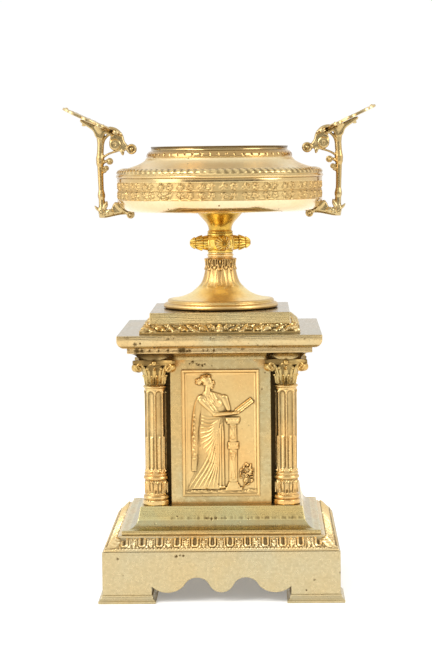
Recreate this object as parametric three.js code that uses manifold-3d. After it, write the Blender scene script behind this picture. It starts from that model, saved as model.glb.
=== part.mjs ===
// Gilt bronze centerpiece: a round two-handled bowl on a trumpet foot, standing on a square columned plinth.
// Millimetres, +Z up. The origin is the middle of the underside, the front with the relief faces -Y.
import * as THREE from "three";
import { mergeVertices } from "three/addons/utils/BufferGeometryUtils.js";
import Module from "manifold-3d";

// Driving dimensions of the plinth: half-widths and heights of its square members
const BASE_HALF = 95.6;
const BASE_TOP = 41.5;
const BASE_WALL = 5;
const BASE_LID = 4;
const MIDDLE_STEPS = 6;
const FOOT_INNER = 56;
const SKIRT_FLARE = 3.4;
const EGG_TOP = 52.5;
const EGG_TOP_HALF = 82.5;
const EGGS_PER_SIDE = 12;
const STEP_TOP = 73.3;
const STEP_HALF = 66;
const DADO_ARM = 41;
const DADO_HALF = 56;
const CORNICE_BOTTOM = 193;
const CORNICE_TOP = 214;
const CORNICE_HALF = 82.5;
const LEAF_TOP = 221.5;
const LEAF_HALF = 65.6;
const LEAVES_PER_SIDE = 8;
const UPPER_HALF = 57;
const UPPER_TOP = 230.5;

// Driving dimensions of the relief plaque
const PLAQUE_HALF = 31.6;
const PLAQUE_BOTTOM = 80;
const PLAQUE_HEIGHT = 104;
const PLAQUE_PROUD = 3;
const FIELD_PROUD = 1.2;
const FRAME_WIDTH = 4;

// Driving dimensions of the columns
const COLUMN_PLACE = 53.4;
const SHAFT_RADIUS = 8.8;
const COLUMN_BASE_RADIUS = 10.9;
const FLUTES = 8;
const ABACUS_REACH = 17.2;
const VOLUTE_RADIUS = 3.4;

// Driving dimensions of the tazza
const FOOT_RADIUS = 48;
const NECK_TOP = 276.5;
const KNOP_TOP = 293.2;
const BOWL_BOTTOM = 311.5;
const BOWL_RADIUS = 85.6;
const BOWL_WALL = 2.6;
const SEAM = 339.5;
const LIP_TOP = 365.4;
const ROUND_SIDES = 32;
const RIM_LEAVES = 16;

// Driving dimensions of the handles
const PLATE_INNER = [80.4, 375.0];
const PLATE_TIP = [130.2, 398.2];
const PLATE_THICK = 3;
const HANDLE_THICK = 7;
const SCROLL_THICK = 5;

// Gap kept between pieces whose touching faces are curved or slanted
const GAP = 0.3;
const TAU = 2 * Math.PI;

const wasm = await Module();
wasm.setup();

// A closed geometry as a solid for joining and cutting, turned the right way out
function solidOf(geometry) {
  const bare = new THREE.BufferGeometry();
  bare.setAttribute("position", geometry.getAttribute("position").clone());
  bare.setIndex(geometry.index);
  const merged = mergeVertices(bare, 1e-4);
  const index = merged.index ? Array.from(merged.index.array) : [];
  const kept = [];
  let volume = 0;
  const p = merged.getAttribute("position");
  const corner = (k) => new THREE.Vector3().fromBufferAttribute(p, k);
  for (let k = 0; k < index.length; k += 3) {
    const [a, b, c] = index.slice(k, k + 3);
    if (a === b || b === c || c === a) continue;
    kept.push(a, b, c);
    volume += corner(a).dot(corner(b).cross(corner(c)));
  }
  const triVerts = new Uint32Array(volume < 0 ? kept.reverse() : kept);
  return new wasm.Manifold(new wasm.Mesh({ numProp: 3, vertProperties: p.array, triVerts }));
}

const join = (first, ...rest) => rest.reduce((whole, piece) => whole.add(piece), first);
const cut = (first, ...rest) => rest.reduce((whole, piece) => whole.subtract(piece), first);

const group = new THREE.Group();

// A finished solid as a geometry, to be moved, mirrored or shown
function geometryOf(solid) {
  const { vertProperties, triVerts } = solid.getMesh();
  const geometry = new THREE.BufferGeometry();
  geometry.setAttribute("position", new THREE.BufferAttribute(vertProperties, 3));
  geometry.setIndex(Array.from(triVerts));
  return geometry;
}

// Puts a finished solid into the group as one named mesh
function addPiece(name, solid, material) {
  const flat = geometryOf(solid).toNonIndexed();
  flat.computeVertexNormals();
  const mesh = new THREE.Mesh(flat, material);
  mesh.name = name;
  group.add(mesh);
}

const brass = (name, color, roughness) =>
  new THREE.MeshStandardMaterial({ name, color, roughness, metalness: 1 });
const paleGilt = brass("pale_gilt", 0xcdbb80, 0.34);
const warmGilt = brass("warm_gilt", 0xd6a548, 0.42);
const brightGilt = brass("bright_gilt", 0xe0c176, 0.22);

// A ring surface: one lathe topology, with each vertex placed by the given rule
function ring(profile, stations, place) {
  const outline = profile.map(([r, z]) => new THREE.Vector2(r, z));
  const geometry = new THREE.LatheGeometry(outline, stations);
  const position = geometry.getAttribute("position");
  for (let i = 0; i <= stations; i++)
    profile.forEach((row, j) => {
      const at = place((i % stations) / stations, row);
      position.setXYZ(i * profile.length + j, ...at);
    });
  return solidOf(geometry);
}

// A turned piece about Z: each row is radius, height, and optionally the depth and count of its lobes
function turned(profile, sides = ROUND_SIDES) {
  return ring(profile, sides, (turn, [r, z, depth = 0, lobes = 0]) => {
    const radius = r + depth * Math.cos(TAU * lobes * turn);
    return [radius * Math.sin(TAU * turn), -radius * Math.cos(TAU * turn), z];
  });
}

// A square moulding about Z: each row is half-width, height, and optionally the depth of its carving
function squared(profile, perSide = 1, motifs = 1) {
  return ring(profile, 4 * perSide, (turn, [half, z, depth = 0]) => {
    const side = Math.floor(4 * turn);
    const along = 4 * turn - side;
    const out = half - depth * Math.cos(TAU * motifs * along);
    const run = along === 0 ? -out : -half + 2 * half * along;
    const spun = [
      [run, -out],
      [out, run],
      [-run, out],
      [-out, -run],
    ][side];
    return [...spun, z];
  });
}

function box(x0, y0, z0, x1, y1, z1) {
  const geometry = new THREE.BoxGeometry(x1 - x0, y1 - y0, z1 - z0);
  geometry.translate((x0 + x1) / 2, (y0 + y1) / 2, (z0 + z1) / 2);
  return solidOf(geometry);
}

// A prism over a flat outline, centred on its own middle plane
function slab(points, thick) {
  const shape = new THREE.Shape(points.map(([x, y]) => new THREE.Vector2(x, y)));
  const geometry = new THREE.ExtrudeGeometry(shape, { depth: thick, bevelEnabled: false });
  geometry.translate(0, 0, -thick / 2);
  return geometry;
}

// A prism whose outline is drawn in X and Z
function standingSlab(points, thick) {
  const geometry = slab(points, thick);
  geometry.rotateX(Math.PI / 2);
  return solidOf(geometry);
}

// Points of a circular arc between two ends, which rises by the given sagitta at its middle
function arc([x0, z0], [x1, z1], sagitta, steps) {
  const chord = Math.hypot(x1 - x0, z1 - z0);
  const half = 2 * Math.atan((2 * sagitta) / chord);
  const points = [];
  for (let k = 1; k <= steps; k++) {
    const angle = half * ((2 * k) / steps - 1);
    const radius = chord / 2 / Math.sin(half);
    const run = chord / 2 + radius * Math.sin(angle);
    const rise = radius * (Math.cos(angle) - Math.cos(half));
    points.push([
      x0 + ((x1 - x0) * run - (z1 - z0) * rise) / chord,
      z0 + ((z1 - z0) * run + (x1 - x0) * rise) / chord,
    ]);
  }
  return points;
}

function ball(x, y, z, rx, ry, rz, sides) {
  const geometry = new THREE.SphereGeometry(1, sides + 2, sides - 2);
  geometry.scale(rx, ry, rz);
  geometry.translate(x, y, z);
  return solidOf(geometry);
}

// Outline of the opening under one apron: lobes and arches between the feet
function apronOutline() {
  const lobe = [FOOT_INNER, 13.1];
  const spring = [30.4, 13.4];
  const cusp = [10.4, 15.9];
  const right = [
    ...arc([-cusp[0], cusp[1]], cusp, -7.5, MIDDLE_STEPS),
    ...arc(cusp, spring, 5.8, 5),
    ...arc(spring, lobe, -5, 5),
  ];
  const middle = right.slice(0, MIDDLE_STEPS);
  const outer = right.slice(MIDDLE_STEPS);
  const left = outer.map(([x, z]) => [-x, z]).reverse();
  return [[-FOOT_INNER, -1], ...left, [-cusp[0], cusp[1]], ...middle, ...outer, [FOOT_INNER, -1]];
}

// The flared moulding round one foot block
function footSkirt(x, y) {
  const half = (BASE_HALF - FOOT_INNER) / 2;
  const flare = [
    [0, 0],
    [half + SKIRT_FLARE, 0],
    [half + SKIRT_FLARE, 2.4],
    [half + 2.1, 3.2],
    [half + 0.8, 6],
    [half - 0.3, 6.8],
    [0, 6.8],
  ];
  return ring(flare, 4, (turn, [h, z]) => {
    const sx = [-1, 1, 1, -1][Math.round(4 * turn)];
    const sy = [-1, -1, 1, 1][Math.round(4 * turn)];
    return [x + sx * h, y + sy * h, z];
  });
}

function baseBox() {
  const inner = BASE_HALF - BASE_WALL;
  const roof = BASE_TOP - BASE_LID;
  const opening = apronOutline();
  const across = standingSlab(opening, 2 * BASE_HALF + 2);
  const alongGeometry = slab(opening, 2 * BASE_HALF + 2);
  alongGeometry.rotateX(Math.PI / 2);
  alongGeometry.rotateZ(Math.PI / 2);
  const block = cut(
    box(-BASE_HALF, -BASE_HALF, 0, BASE_HALF, BASE_HALF, BASE_TOP),
    box(-FOOT_INNER, -inner, -1, FOOT_INNER, inner, roof),
    box(-inner, -FOOT_INNER, -1, inner, FOOT_INNER, roof),
    across,
    solidOf(alongGeometry),
  );
  const place = (BASE_HALF + FOOT_INNER) / 2;
  const skirts = [-place, place].flatMap((x) => [-place, place].map((y) => footSkirt(x, y)));
  return join(block, ...skirts);
}

function eggAndDart() {
  const profile = [
    [0, BASE_TOP],
    [94.4, BASE_TOP],
    [94.4, 43],
    [89, 47.9, 1.7],
    [EGG_TOP_HALF, EGG_TOP],
    [0, EGG_TOP],
  ];
  return squared(profile, 2 * EGGS_PER_SIDE, EGGS_PER_SIDE);
}

function plinthStep() {
  const profile = [[0, EGG_TOP], [80.6, EGG_TOP], [80.6, 56], [79.6, 56]];
  profile.push(...arc([79.6, 56], [68.2, 62.2], 2.6, 5));
  profile.push([STEP_HALF, STEP_TOP], [0, STEP_TOP]);
  return squared(profile);
}

// Cross-shaped die, with a sunk panel in the back and in each side
function dado() {
  const sunk = 1.2;
  const top = PLAQUE_BOTTOM + PLAQUE_HEIGHT;
  const face = DADO_HALF - sunk;
  const die = join(
    box(-DADO_ARM, -DADO_HALF, STEP_TOP, DADO_ARM, DADO_HALF, CORNICE_BOTTOM),
    box(-DADO_HALF, -DADO_ARM, STEP_TOP, DADO_HALF, DADO_ARM, CORNICE_BOTTOM),
  );
  return cut(
    die,
    box(-PLAQUE_HALF, face, PLAQUE_BOTTOM, PLAQUE_HALF, DADO_HALF + 1, top),
    box(face, -PLAQUE_HALF, PLAQUE_BOTTOM, DADO_HALF + 1, PLAQUE_HALF, top),
    box(-DADO_HALF - 1, -PLAQUE_HALF, PLAQUE_BOTTOM, -face, PLAQUE_HALF, top),
  );
}

// Low relief on the plaque: rows of height, middle, half-width and depth, each section a half ellipse
function reliefForm(rows, stations = 10) {
  const back = -DADO_HALF - FIELD_PROUD;
  const first = rows[0];
  const last = rows[rows.length - 1];
  const closed = [[...first.slice(0, 2), 0, 0], ...rows, [...last.slice(0, 2), 0, 0]];
  return ring(closed, stations, (turn, [height, middle, half, depth, folds = 0]) => {
    const angle = TAU * turn;
    const front = Math.sin(angle) > 0 ? Math.sin(angle) ** 0.6 : 0;
    const fold = 1 + folds * Math.cos(stations * 0.5 * angle);
    const y = front > 0 ? back - depth * front * fold : back + 0.5;
    return [middle + half * Math.cos(angle), half > 0 ? y : back, PLAQUE_BOTTOM + height];
  });
}

// A round bar lying half in the field, from one point to another
function reliefBar([x0, z0], [x1, z1], radius, thin = radius) {
  const geometry = new THREE.CylinderGeometry(thin, radius, Math.hypot(x1 - x0, z1 - z0), 8);
  geometry.scale(1, 1, 0.8);
  geometry.rotateX(Math.PI / 2);
  geometry.rotateY(Math.PI / 2 - Math.atan2(z1 - z0, x1 - x0));
  geometry.translate((x0 + x1) / 2, -DADO_HALF - FIELD_PROUD - 0.9, PLAQUE_BOTTOM + (z0 + z1) / 2);
  return solidOf(geometry);
}

// Standing draped woman who reads at a slender pillar, with a bush behind it
function plaqueFigures() {
  const face = -DADO_HALF - FIELD_PROUD;
  const at = (x, h, rx, ry, rz) => ball(x, face, PLAQUE_BOTTOM + h, rx, ry, rz, 6);
  const body = reliefForm([
    [5, -11.5, 14, 1.6, 0.25],
    [20, -10.8, 12.6, 2, 0.25],
    [36, -10, 11, 2.2, 0.25],
    [52, -9.4, 9.6, 2.3, 0.15],
    [62, -9.6, 8.4, 2.2],
    [72, -10.2, 8, 2.3],
    [80, -10.6, 8, 2],
    [83.5, -11, 3.4, 1.5],
    [88, -11, 2.4, 1.4],
  ]);
  const cloak = reliefForm([
    [16, -22, 2.6, 1.2],
    [45, -20.6, 3.2, 1.4],
    [70, -18.6, 3, 1.5],
    [80, -16.4, 2, 1.2],
  ], 8);
  const pillar = reliefForm([
    [5, 10, 7, 1.6],
    [10.3, 9.8, 5.6, 1.6],
    [10.4, 9.7, 4, 1.5],
    [40, 9.6, 3.9, 1.5],
    [40.1, 9.6, 4.6, 1.8],
    [43.6, 9.6, 4.6, 1.8],
    [43.7, 9.6, 3.8, 1.5],
    [60.4, 9.4, 3.7, 1.5],
    [61, 9.3, 5.4, 1.8],
    [65.6, 9.3, 5.4, 1.8],
  ], 10);
  const bush = [[19.4, 13, 4.6], [24.6, 18, 4], [20.8, 23.6, 3.6]];
  return [
    body,
    cloak,
    pillar,
    at(-11.4, 92.4, 4.6, 2.4, 6),
    at(-15.6, 94.6, 4.2, 2, 3.6),
    reliefBar([-15.8, 78.6], [-4.6, 67.4], 2.3, 2),
    reliefBar([-4.6, 67.4], [9.6, 67], 2, 1.4),
    reliefBar([9, 67.5], [26.2, 78.6], 1.5),
    at(-1.5, 77, 5, 2, 7.6),
    reliefForm([[2, 0, 28, 0.9], [5.6, 0, 27.6, 1.1], [7.2, -1, 27, 0.6]], 8),
    ...bush.map(([x, h, r]) => at(x, h, r, 1.3, r)),
  ];
}

function reliefPlaque() {
  const top = PLAQUE_BOTTOM + PLAQUE_HEIGHT;
  const inner = PLAQUE_HALF - FRAME_WIDTH;
  const front = -DADO_HALF - PLAQUE_PROUD;
  const field = -DADO_HALF - FIELD_PROUD;
  const clip = box(
    -inner,
    -DADO_HALF - 5,
    PLAQUE_BOTTOM + FRAME_WIDTH / 2,
    inner,
    -DADO_HALF,
    top - FRAME_WIDTH / 2,
  );
  const plate = cut(
    box(-PLAQUE_HALF, front, PLAQUE_BOTTOM, PLAQUE_HALF, -DADO_HALF, top),
    box(-inner, front - 1, PLAQUE_BOTTOM + FRAME_WIDTH, inner, field, top - FRAME_WIDTH),
  );
  const figures = join(...plaqueFigures()).intersect(clip);
  return join(plate, figures);
}

// The column's base, fluted shaft and bell, turned with 8 flutes
function columnShaft() {
  const r = SHAFT_RADIUS;
  const flute = [-0.7, FLUTES];
  const leaf = [0.7, FLUTES];
  const profile = [
    [0, STEP_TOP],
    [COLUMN_BASE_RADIUS, STEP_TOP],
    [COLUMN_BASE_RADIUS, 77.4],
    [COLUMN_BASE_RADIUS - 0.5, 81.4],
    [r + 0.3, 82.4, ...leaf],
    [r + 0.3, 94.2, ...leaf],
    [r + 1.3, 96.4],
    [r, 100, ...flute],
    [r, 167, ...flute],
    [r + 0.8, 169.9],
    [r - 0.2, 171.6],
    [12.3, 184, 1, FLUTES],
    [11.2, 191],
    [0, 191],
  ];
  return turned(profile, 2 * FLUTES);
}

// Four-sided abacus with hollowed sides, and a volute under each corner that stands clear of the die
function capitalHead(sx, sy) {
  const reach = ABACUS_REACH;
  const middle = 11.4;
  const corner = 2.2;
  const points = [];
  for (let k = 0; k < 4; k++) {
    const turn = (k * Math.PI) / 2;
    const edge = [
      [reach, -reach + corner],
      [middle, -3],
      [middle, 3],
      [reach, reach - corner],
    ];
    const spin = ([x, y]) => [
      x * Math.cos(turn) - y * Math.sin(turn),
      x * Math.sin(turn) + y * Math.cos(turn),
    ];
    points.push(...edge.map(spin));
  }
  const abacus = slab(points, 3);
  abacus.translate(0, 0, CORNICE_BOTTOM - 1.5);
  const inward = Math.atan2(-sy, -sx);
  const volutes = [1, 2, 3].map((quarter) => {
    const geometry = new THREE.CylinderGeometry(VOLUTE_RADIUS, VOLUTE_RADIUS, 4.4, 6);
    geometry.translate(reach * Math.SQRT2 - VOLUTE_RADIUS - 1.6, 0, 0);
    geometry.rotateZ(inward + (quarter * Math.PI) / 2);
    geometry.translate(0, 0, CORNICE_BOTTOM - 2.2 - VOLUTE_RADIUS);
    return solidOf(geometry);
  });
  return [solidOf(abacus), ...volutes];
}

// One column in place, cut back where the die stands close behind its capital
function column(sx, sy) {
  const whole = join(columnShaft(), ...capitalHead(sx, sy));
  const geometry = geometryOf(whole);
  geometry.translate(sx * COLUMN_PLACE, sy * COLUMN_PLACE, 0);
  const arm = DADO_ARM + GAP;
  const face = DADO_HALF + GAP;
  const low = STEP_TOP - 1;
  const high = CORNICE_BOTTOM + 1;
  return cut(
    solidOf(geometry),
    box(-arm, -face, low, arm, face, high),
    box(-face, -arm, low, face, arm, high),
  );
}

function cornice() {
  const profile = [
    [0, CORNICE_BOTTOM],
    [65.3, CORNICE_BOTTOM],
    ...arc([65.3, CORNICE_BOTTOM], [73, 199], 1.3, 4),
    [74.6, 199.2],
    [74.6, 203.4],
    [77.5, 203.4],
    ...arc([77.5, 203.4], [CORNICE_HALF, 210.2], -1.4, 4),
    [CORNICE_HALF, CORNICE_TOP],
    [0, CORNICE_TOP],
  ];
  return squared(profile);
}

function leafMoulding() {
  const profile = [
    [0, CORNICE_TOP],
    [LEAF_HALF - 1, CORNICE_TOP],
    [LEAF_HALF - 0.6, 215.6, 0.8],
    [LEAF_HALF - 3.4, 218.6, 1],
    [UPPER_HALF + 0.8, LEAF_TOP],
    [0, LEAF_TOP],
  ];
  return squared(profile, 2 * LEAVES_PER_SIDE, LEAVES_PER_SIDE);
}

function tazzaFoot() {
  const r = FOOT_RADIUS;
  const collar = [0.5, 12];
  const flutes = [0.35, 12];
  const profile = [
    [0, UPPER_TOP],
    [r - 2.4, UPPER_TOP],
    [r - 0.4, 231.6],
    [r, 233],
    [r - 3.6, 235.4],
    [r - 3.6, 237.6],
    [31.7, 240.4],
    [24.1, 243.1],
    [19.2, 248, ...flutes],
    [15.1, 252.7, ...flutes],
    [13, 259.2, ...flutes],
    [12.3, 265.5, ...collar],
    [12.9, 270.8, ...collar],
    [10.5, 272],
    [10.4, NECK_TOP],
    [0, NECK_TOP],
  ];
  return turned(profile, 24);
}

// Barrel knop with four leafy rosettes that point outwards
function knop() {
  const middle = (NECK_TOP + KNOP_TOP) / 2;
  const barrel = turned([
    [0, NECK_TOP],
    [10.2, NECK_TOP],
    [12.4, 280.4],
    [12.4, 289.6],
    [10.6, KNOP_TOP],
    [0, KNOP_TOP],
  ], 16);
  const petals = [
    [0, 9],
    [5.6, 11],
    [7.8, 18, 0.7, 5],
    [4.6, 24, 0.5, 5],
    [0, 26],
  ];
  const rosettes = [0, 1, 2, 3].map((quarter) => {
    const angle = (quarter * Math.PI) / 2;
    return ring(petals, 10, (turn, [r, out, depth = 0, lobes = 0]) => {
      const radius = r + depth * Math.cos(TAU * lobes * turn);
      const across = radius * Math.cos(TAU * turn);
      return [
        out * Math.cos(angle) - across * Math.sin(angle),
        out * Math.sin(angle) + across * Math.cos(angle),
        middle + radius * Math.sin(TAU * turn),
      ];
    });
  });
  return join(barrel, ...rosettes);
}

function bowlSocket() {
  const profile = [
    [0, KNOP_TOP],
    [10.6, KNOP_TOP],
    [9.5, 295.2],
    [10.6, 299.6],
    [15.2, 305.6],
    [18.8, BOWL_BOTTOM],
    [0, BOWL_BOTTOM],
  ];
  return turned(profile, 20);
}

// The drum of the bowl, from its flat bottom to the seam under the rim, and hollow inside
function bowlOutside(extra = 0) {
  const r = BOWL_RADIUS + extra;
  return [
    [0, BOWL_BOTTOM - extra],
    [74.4 + extra, BOWL_BOTTOM - extra],
    [81.6 + extra, 315],
    [r, 321.4],
    [r, 325, 0.35, RIM_LEAVES],
    [r - 0.6, 328.8],
    [r, 332.6, 0.35, RIM_LEAVES],
    [r, SEAM],
  ];
}

function bowl() {
  const floor = BOWL_BOTTOM + BOWL_WALL;
  const inside = BOWL_RADIUS - BOWL_WALL;
  return turned([
    ...bowlOutside(),
    [inside, SEAM],
    [inside, 320.6],
    [73.4, floor],
    [0, floor],
  ]);
}

// The shoulder with its leafy torus, gadrooned neck and lip, open in the middle
function bowlShoulder() {
  const outer = [
    [85, SEAM],
    [86.8, 341.4],
    [85.8, 344.8, 0.5, RIM_LEAVES],
    [82, 347.3],
    [77.6, 347.5],
    [66, 351.4],
    [60.8, 355.4],
    [60.2, 359, 0.4, RIM_LEAVES],
    [57, 362],
    [57.2, LIP_TOP],
  ];
  const inner = [
    [54.4, LIP_TOP],
    [54.8, 360],
    [60, 351.4],
    [81.6, 344],
    [83, SEAM],
  ];
  return turned([...outer, ...inner, outer[0]]);
}

// The handles' own parts are drawn for the right side, and mirrored for the left one
function uprightShaft() {
  const rows = [
    [0, 306.8, 98],
    [2.6, 306.8, 98],
    [3.4, 310, 98.2],
    [2.5, 324, 99],
    [3.1, 325, 99],
    [2.3, 328, 99.1],
    [2.3, 336, 99.4],
    [2.7, 351.5, 99.6],
    [3.6, 352.5, 99.6],
    [3.6, 357.4, 99.5],
    [3, 358.4, 99.4],
    [3, 371, 98.8],
    [3.8, 376.5, 99.6],
    [5, 384, 101],
    [0, 384, 101],
  ];
  return ring(rows, 6, (turn, [r, z, x]) => [
    x + r * Math.sin(TAU * turn + Math.PI / 6),
    -r * Math.cos(TAU * turn + Math.PI / 6),
    z,
  ]);
}

// A disc that stands on edge, seen as a round scroll end from the front
function scrollEnd(x, z, radius, thick) {
  const geometry = new THREE.CylinderGeometry(radius, radius, thick, 8);
  geometry.translate(x, 0, z);
  return solidOf(geometry);
}

function handleBody() {
  const knee = [
    [99.6, 306.8],
    [87.1, 308.2],
    [77, 309.6],
    [74.4, 311],
    [74.4, 314],
    [82, 316],
    [87.6, 319.4],
    [90, 316.6],
    [92.6, 315.4],
    [93.6, 318.4],
    [95, 320.8],
    [97.4, 318.6],
    [101.4, 317.6],
    [104.6, 316.8],
    [102, 314.6],
    [101.4, 309],
  ];
  const volute = [
    [97, 357.4],
    [89.6, 361],
    [85.4, 361.8],
    [82, 360.4],
    [80.6, 358.2],
    [79.8, 361.4],
    [76, 362.2],
    [76.4, 364.8],
    [79.6, 366.6],
    [81, 371],
    [80, 378],
    [88, 381],
    [88.6, 374.4],
    [91.4, 369.4],
    [91, 365.4],
    [89, 362.8],
    [97.6, 359.2],
  ];
  const bracket = [
    [97, 358.4],
    [92.4, 355.8],
    [89.4, 354.6],
    [89.6, 352.4],
    [93.2, 352],
    [93.4, 348.6],
    [93.2, 346.4],
    [96, 345.6],
    [99, 350],
  ];
  const wedge = [
    [102.4, 374],
    [105, 379.6],
    [114, 385.6],
    [117, 393],
    [98, 390],
    [96, 378],
  ];
  return join(
    uprightShaft(),
    standingSlab(knee, HANDLE_THICK),
    standingSlab(volute, SCROLL_THICK),
    standingSlab(bracket, SCROLL_THICK),
    standingSlab(wedge, HANDLE_THICK),
    scrollEnd(73, 363.6, 4.1, HANDLE_THICK),
    scrollEnd(86, 367.4, 3, HANDLE_THICK),
    scrollEnd(74.6, 308.6, 3, HANDLE_THICK),
  );
}

const plateRise = Math.atan2(PLATE_TIP[1] - PLATE_INNER[1], PLATE_TIP[0] - PLATE_INNER[0]);
const plateLength = Math.hypot(PLATE_TIP[0] - PLATE_INNER[0], PLATE_TIP[1] - PLATE_INNER[1]);

// Lays a shape drawn along the plate on its slope, at a height above the plate's middle plane
function onSlope(geometry, height) {
  geometry.translate(0, 0, height);
  geometry.rotateY(-plateRise);
  geometry.translate(PLATE_INNER[0], 0, PLATE_INNER[1]);
  return geometry;
}

// Palmette outline of the plate: a fan of lobes at the tip, and three small lobes at the inner end
function palmette() {
  const root = 15;
  const spread = (100 * Math.PI) / 180;
  const lobes = 7;
  const steps = 4 * lobes;
  const half = [];
  for (let k = steps / 2; k <= steps; k++) {
    const angle = spread * ((2 * k) / steps - 1);
    const envelope = 15.5 + (plateLength - root - 15.5) * Math.cos(angle * 0.82) ** 1.4;
    const scallop = 0.87 + 0.13 * Math.abs(Math.cos((Math.PI * lobes * k) / steps - Math.PI / 2));
    half.push([root + envelope * scallop * Math.cos(angle), envelope * scallop * Math.sin(angle)]);
  }
  half.push([9.6, 6.4], [8, 10], [4.4, 10.6], [2, 7.6], [3.2, 4.4], [0, 2.4]);
  const mirrored = half.map(([x, y]) => [x, -y]).reverse();
  return [...mirrored, ...half.slice(1)];
}

const mirrorX = (solid) => solidOf(geometryOf(solid).scale(-1, 1, 1));

function rightHandle() {
  const above = onSlope(new THREE.BoxGeometry(120, 60, 20), 10 - PLATE_THICK / 2 - GAP);
  return cut(handleBody(), turned([...bowlOutside(GAP), [0, SEAM]]), solidOf(above));
}

const rightPlate = () => solidOf(onSlope(slab(palmette(), PLATE_THICK), 0));

addPiece("base_box", baseBox(), paleGilt);
addPiece("egg_and_dart_moulding", eggAndDart(), warmGilt);
addPiece("plinth_step", plinthStep(), paleGilt);
addPiece("dado", dado(), paleGilt);
addPiece("relief_plaque", reliefPlaque(), warmGilt);
for (const [side, sx] of [["left", -1], ["right", 1]])
  for (const [end, sy] of [["front", -1], ["back", 1]])
    addPiece(`column_${end}_${side}`, column(sx, sy), warmGilt);
addPiece("cornice", cornice(), paleGilt);
addPiece("leaf_moulding", leafMoulding(), warmGilt);
addPiece("upper_step", box(-UPPER_HALF, -UPPER_HALF, LEAF_TOP, UPPER_HALF, UPPER_HALF, UPPER_TOP), paleGilt);
addPiece("tazza_foot", tazzaFoot(), warmGilt);
addPiece("knop", knop(), warmGilt);
addPiece("bowl_socket", bowlSocket(), warmGilt);
addPiece("bowl", bowl(), brightGilt);
addPiece("bowl_shoulder", bowlShoulder(), brightGilt);
const handle = rightHandle();
const plate = rightPlate();
addPiece("handle_right", handle, warmGilt);
addPiece("handle_left", mirrorX(handle), warmGilt);
addPiece("thumb_plate_right", plate, warmGilt);
addPiece("thumb_plate_left", mirrorX(plate), warmGilt);

export default group;
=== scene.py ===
"""Gilt bronze centerpiece: a two-handled bowl on a columned plinth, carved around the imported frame."""

import math
from collections import namedtuple

import bmesh
import bpy
import numpy as np
from bpy.props import FloatProperty, FloatVectorProperty, IntProperty, PointerProperty
from mathutils import Matrix, Vector


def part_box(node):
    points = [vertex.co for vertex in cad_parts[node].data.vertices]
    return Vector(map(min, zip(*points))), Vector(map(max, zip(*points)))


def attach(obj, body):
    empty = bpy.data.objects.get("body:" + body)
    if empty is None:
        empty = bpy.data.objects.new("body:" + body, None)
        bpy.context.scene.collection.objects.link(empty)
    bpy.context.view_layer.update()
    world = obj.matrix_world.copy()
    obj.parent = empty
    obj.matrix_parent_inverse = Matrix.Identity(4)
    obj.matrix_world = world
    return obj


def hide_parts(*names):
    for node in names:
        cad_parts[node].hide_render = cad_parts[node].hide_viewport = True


bl_info = {
    "name": "Gilt bronze centerpiece",
    "version": (1, 0, 0),
    "blender": (4, 5, 0),
    "location": "View3D > Sidebar > Centerpiece",
    "description": "Builds the carved gilt bronze pieces of a centerpiece around its frame",
    "category": "Add Mesh",
}

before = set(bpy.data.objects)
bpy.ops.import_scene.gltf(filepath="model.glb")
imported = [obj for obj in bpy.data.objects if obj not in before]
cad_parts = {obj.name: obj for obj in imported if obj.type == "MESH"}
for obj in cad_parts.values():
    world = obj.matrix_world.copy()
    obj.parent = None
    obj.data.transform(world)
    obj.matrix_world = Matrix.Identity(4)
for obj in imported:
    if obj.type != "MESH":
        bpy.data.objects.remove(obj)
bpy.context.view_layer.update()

MM = 0.001
TAU = 2 * math.pi
LONG_SIDE = 648

# How much painted shade a carving's flanks get for their slope, the steepest slope that counts, and how
# valleys, with patina and painted shade, and rubbed crests differ
FLANK_PAINTED_SHADE = 0.30
STEEPEST = 2.5
VALLEY_PATINA_AND_SHADE = 1.3

# Edges that bend more than this stay sharp, and outline corners that bend less than this stay as they are
SHARP_ANGLE = math.radians(48)
GENTLE_BEND = math.radians(28)

# Mesh of the turned pieces, as cells round them and the rows' distance in millimetres
COLUMN_MESH = (128, 0.62)
FOOT_MESH = (208, 0.5)
KNOP_MESH = (144, 0.5)
BOWL_MESH = (600, 0.6)
SHOULDER_MESH = (630, 0.6)
SOCKET_SIDES = 96

# Mesh of the square pieces, as cells along a side and the rows' distance in millimetres
STEP_MESH = (140, 0.6)
CORNICE_MESH = (144, 0.75)
APRON_STATIONS = 113

# The handles' skin: its grid in millimetres and how often it is smoothed
HANDLE_SKIN = (0.47, 2)


def length(name, description, default):
    return FloatProperty(name=name, description=description, default=default, unit="LENGTH", precision=5)


def colour(name, description, default):
    return FloatVectorProperty(
        name=name, description=description, default=default, subtype="COLOR", size=3, min=0, max=1
    )


class PlinthSizes(bpy.types.PropertyGroup):
    arris: length("Arris", "Radius of the worn edges of the square members", 0.0005)
    egg_period: length("Egg spacing", "Distance from egg to egg along the base moulding", 0.0142)
    leaf_period: length("Leaf spacing", "Distance from leaf to leaf on the raking moulding", 0.0088)
    figure_relief: length("Figure relief", "How far the plaque's figure stands out", 0.0023)
    carving_step: length("Carving step", "Mesh size on the carved mouldings", 0.00056)
    plaque_step: length("Plaque step", "Mesh size on the plaque", 0.00035)


class TazzaSizes(bpy.types.PropertyGroup):
    frieze_relief: length("Frieze relief", "How far the frieze's flowers stand out", 0.0006)
    frieze_pairs: IntProperty(name="Frieze pairs", description="Pairs of flowers round the drum", default=30)
    gadroons: IntProperty(name="Gadroons", description="Tongues round the neck", default=54)
    torus_leaves: IntProperty(name="Torus leaves", description="Leaves round the rim", default=90)


class Finish(bpy.types.PropertyGroup):
    # This colour also paints shade: corners, recesses, outlines and the lip's dark line are mixed towards it
    stain: colour("Stain", "Brown patina in hollows and spots", (0.10, 0.06, 0.02))


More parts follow.
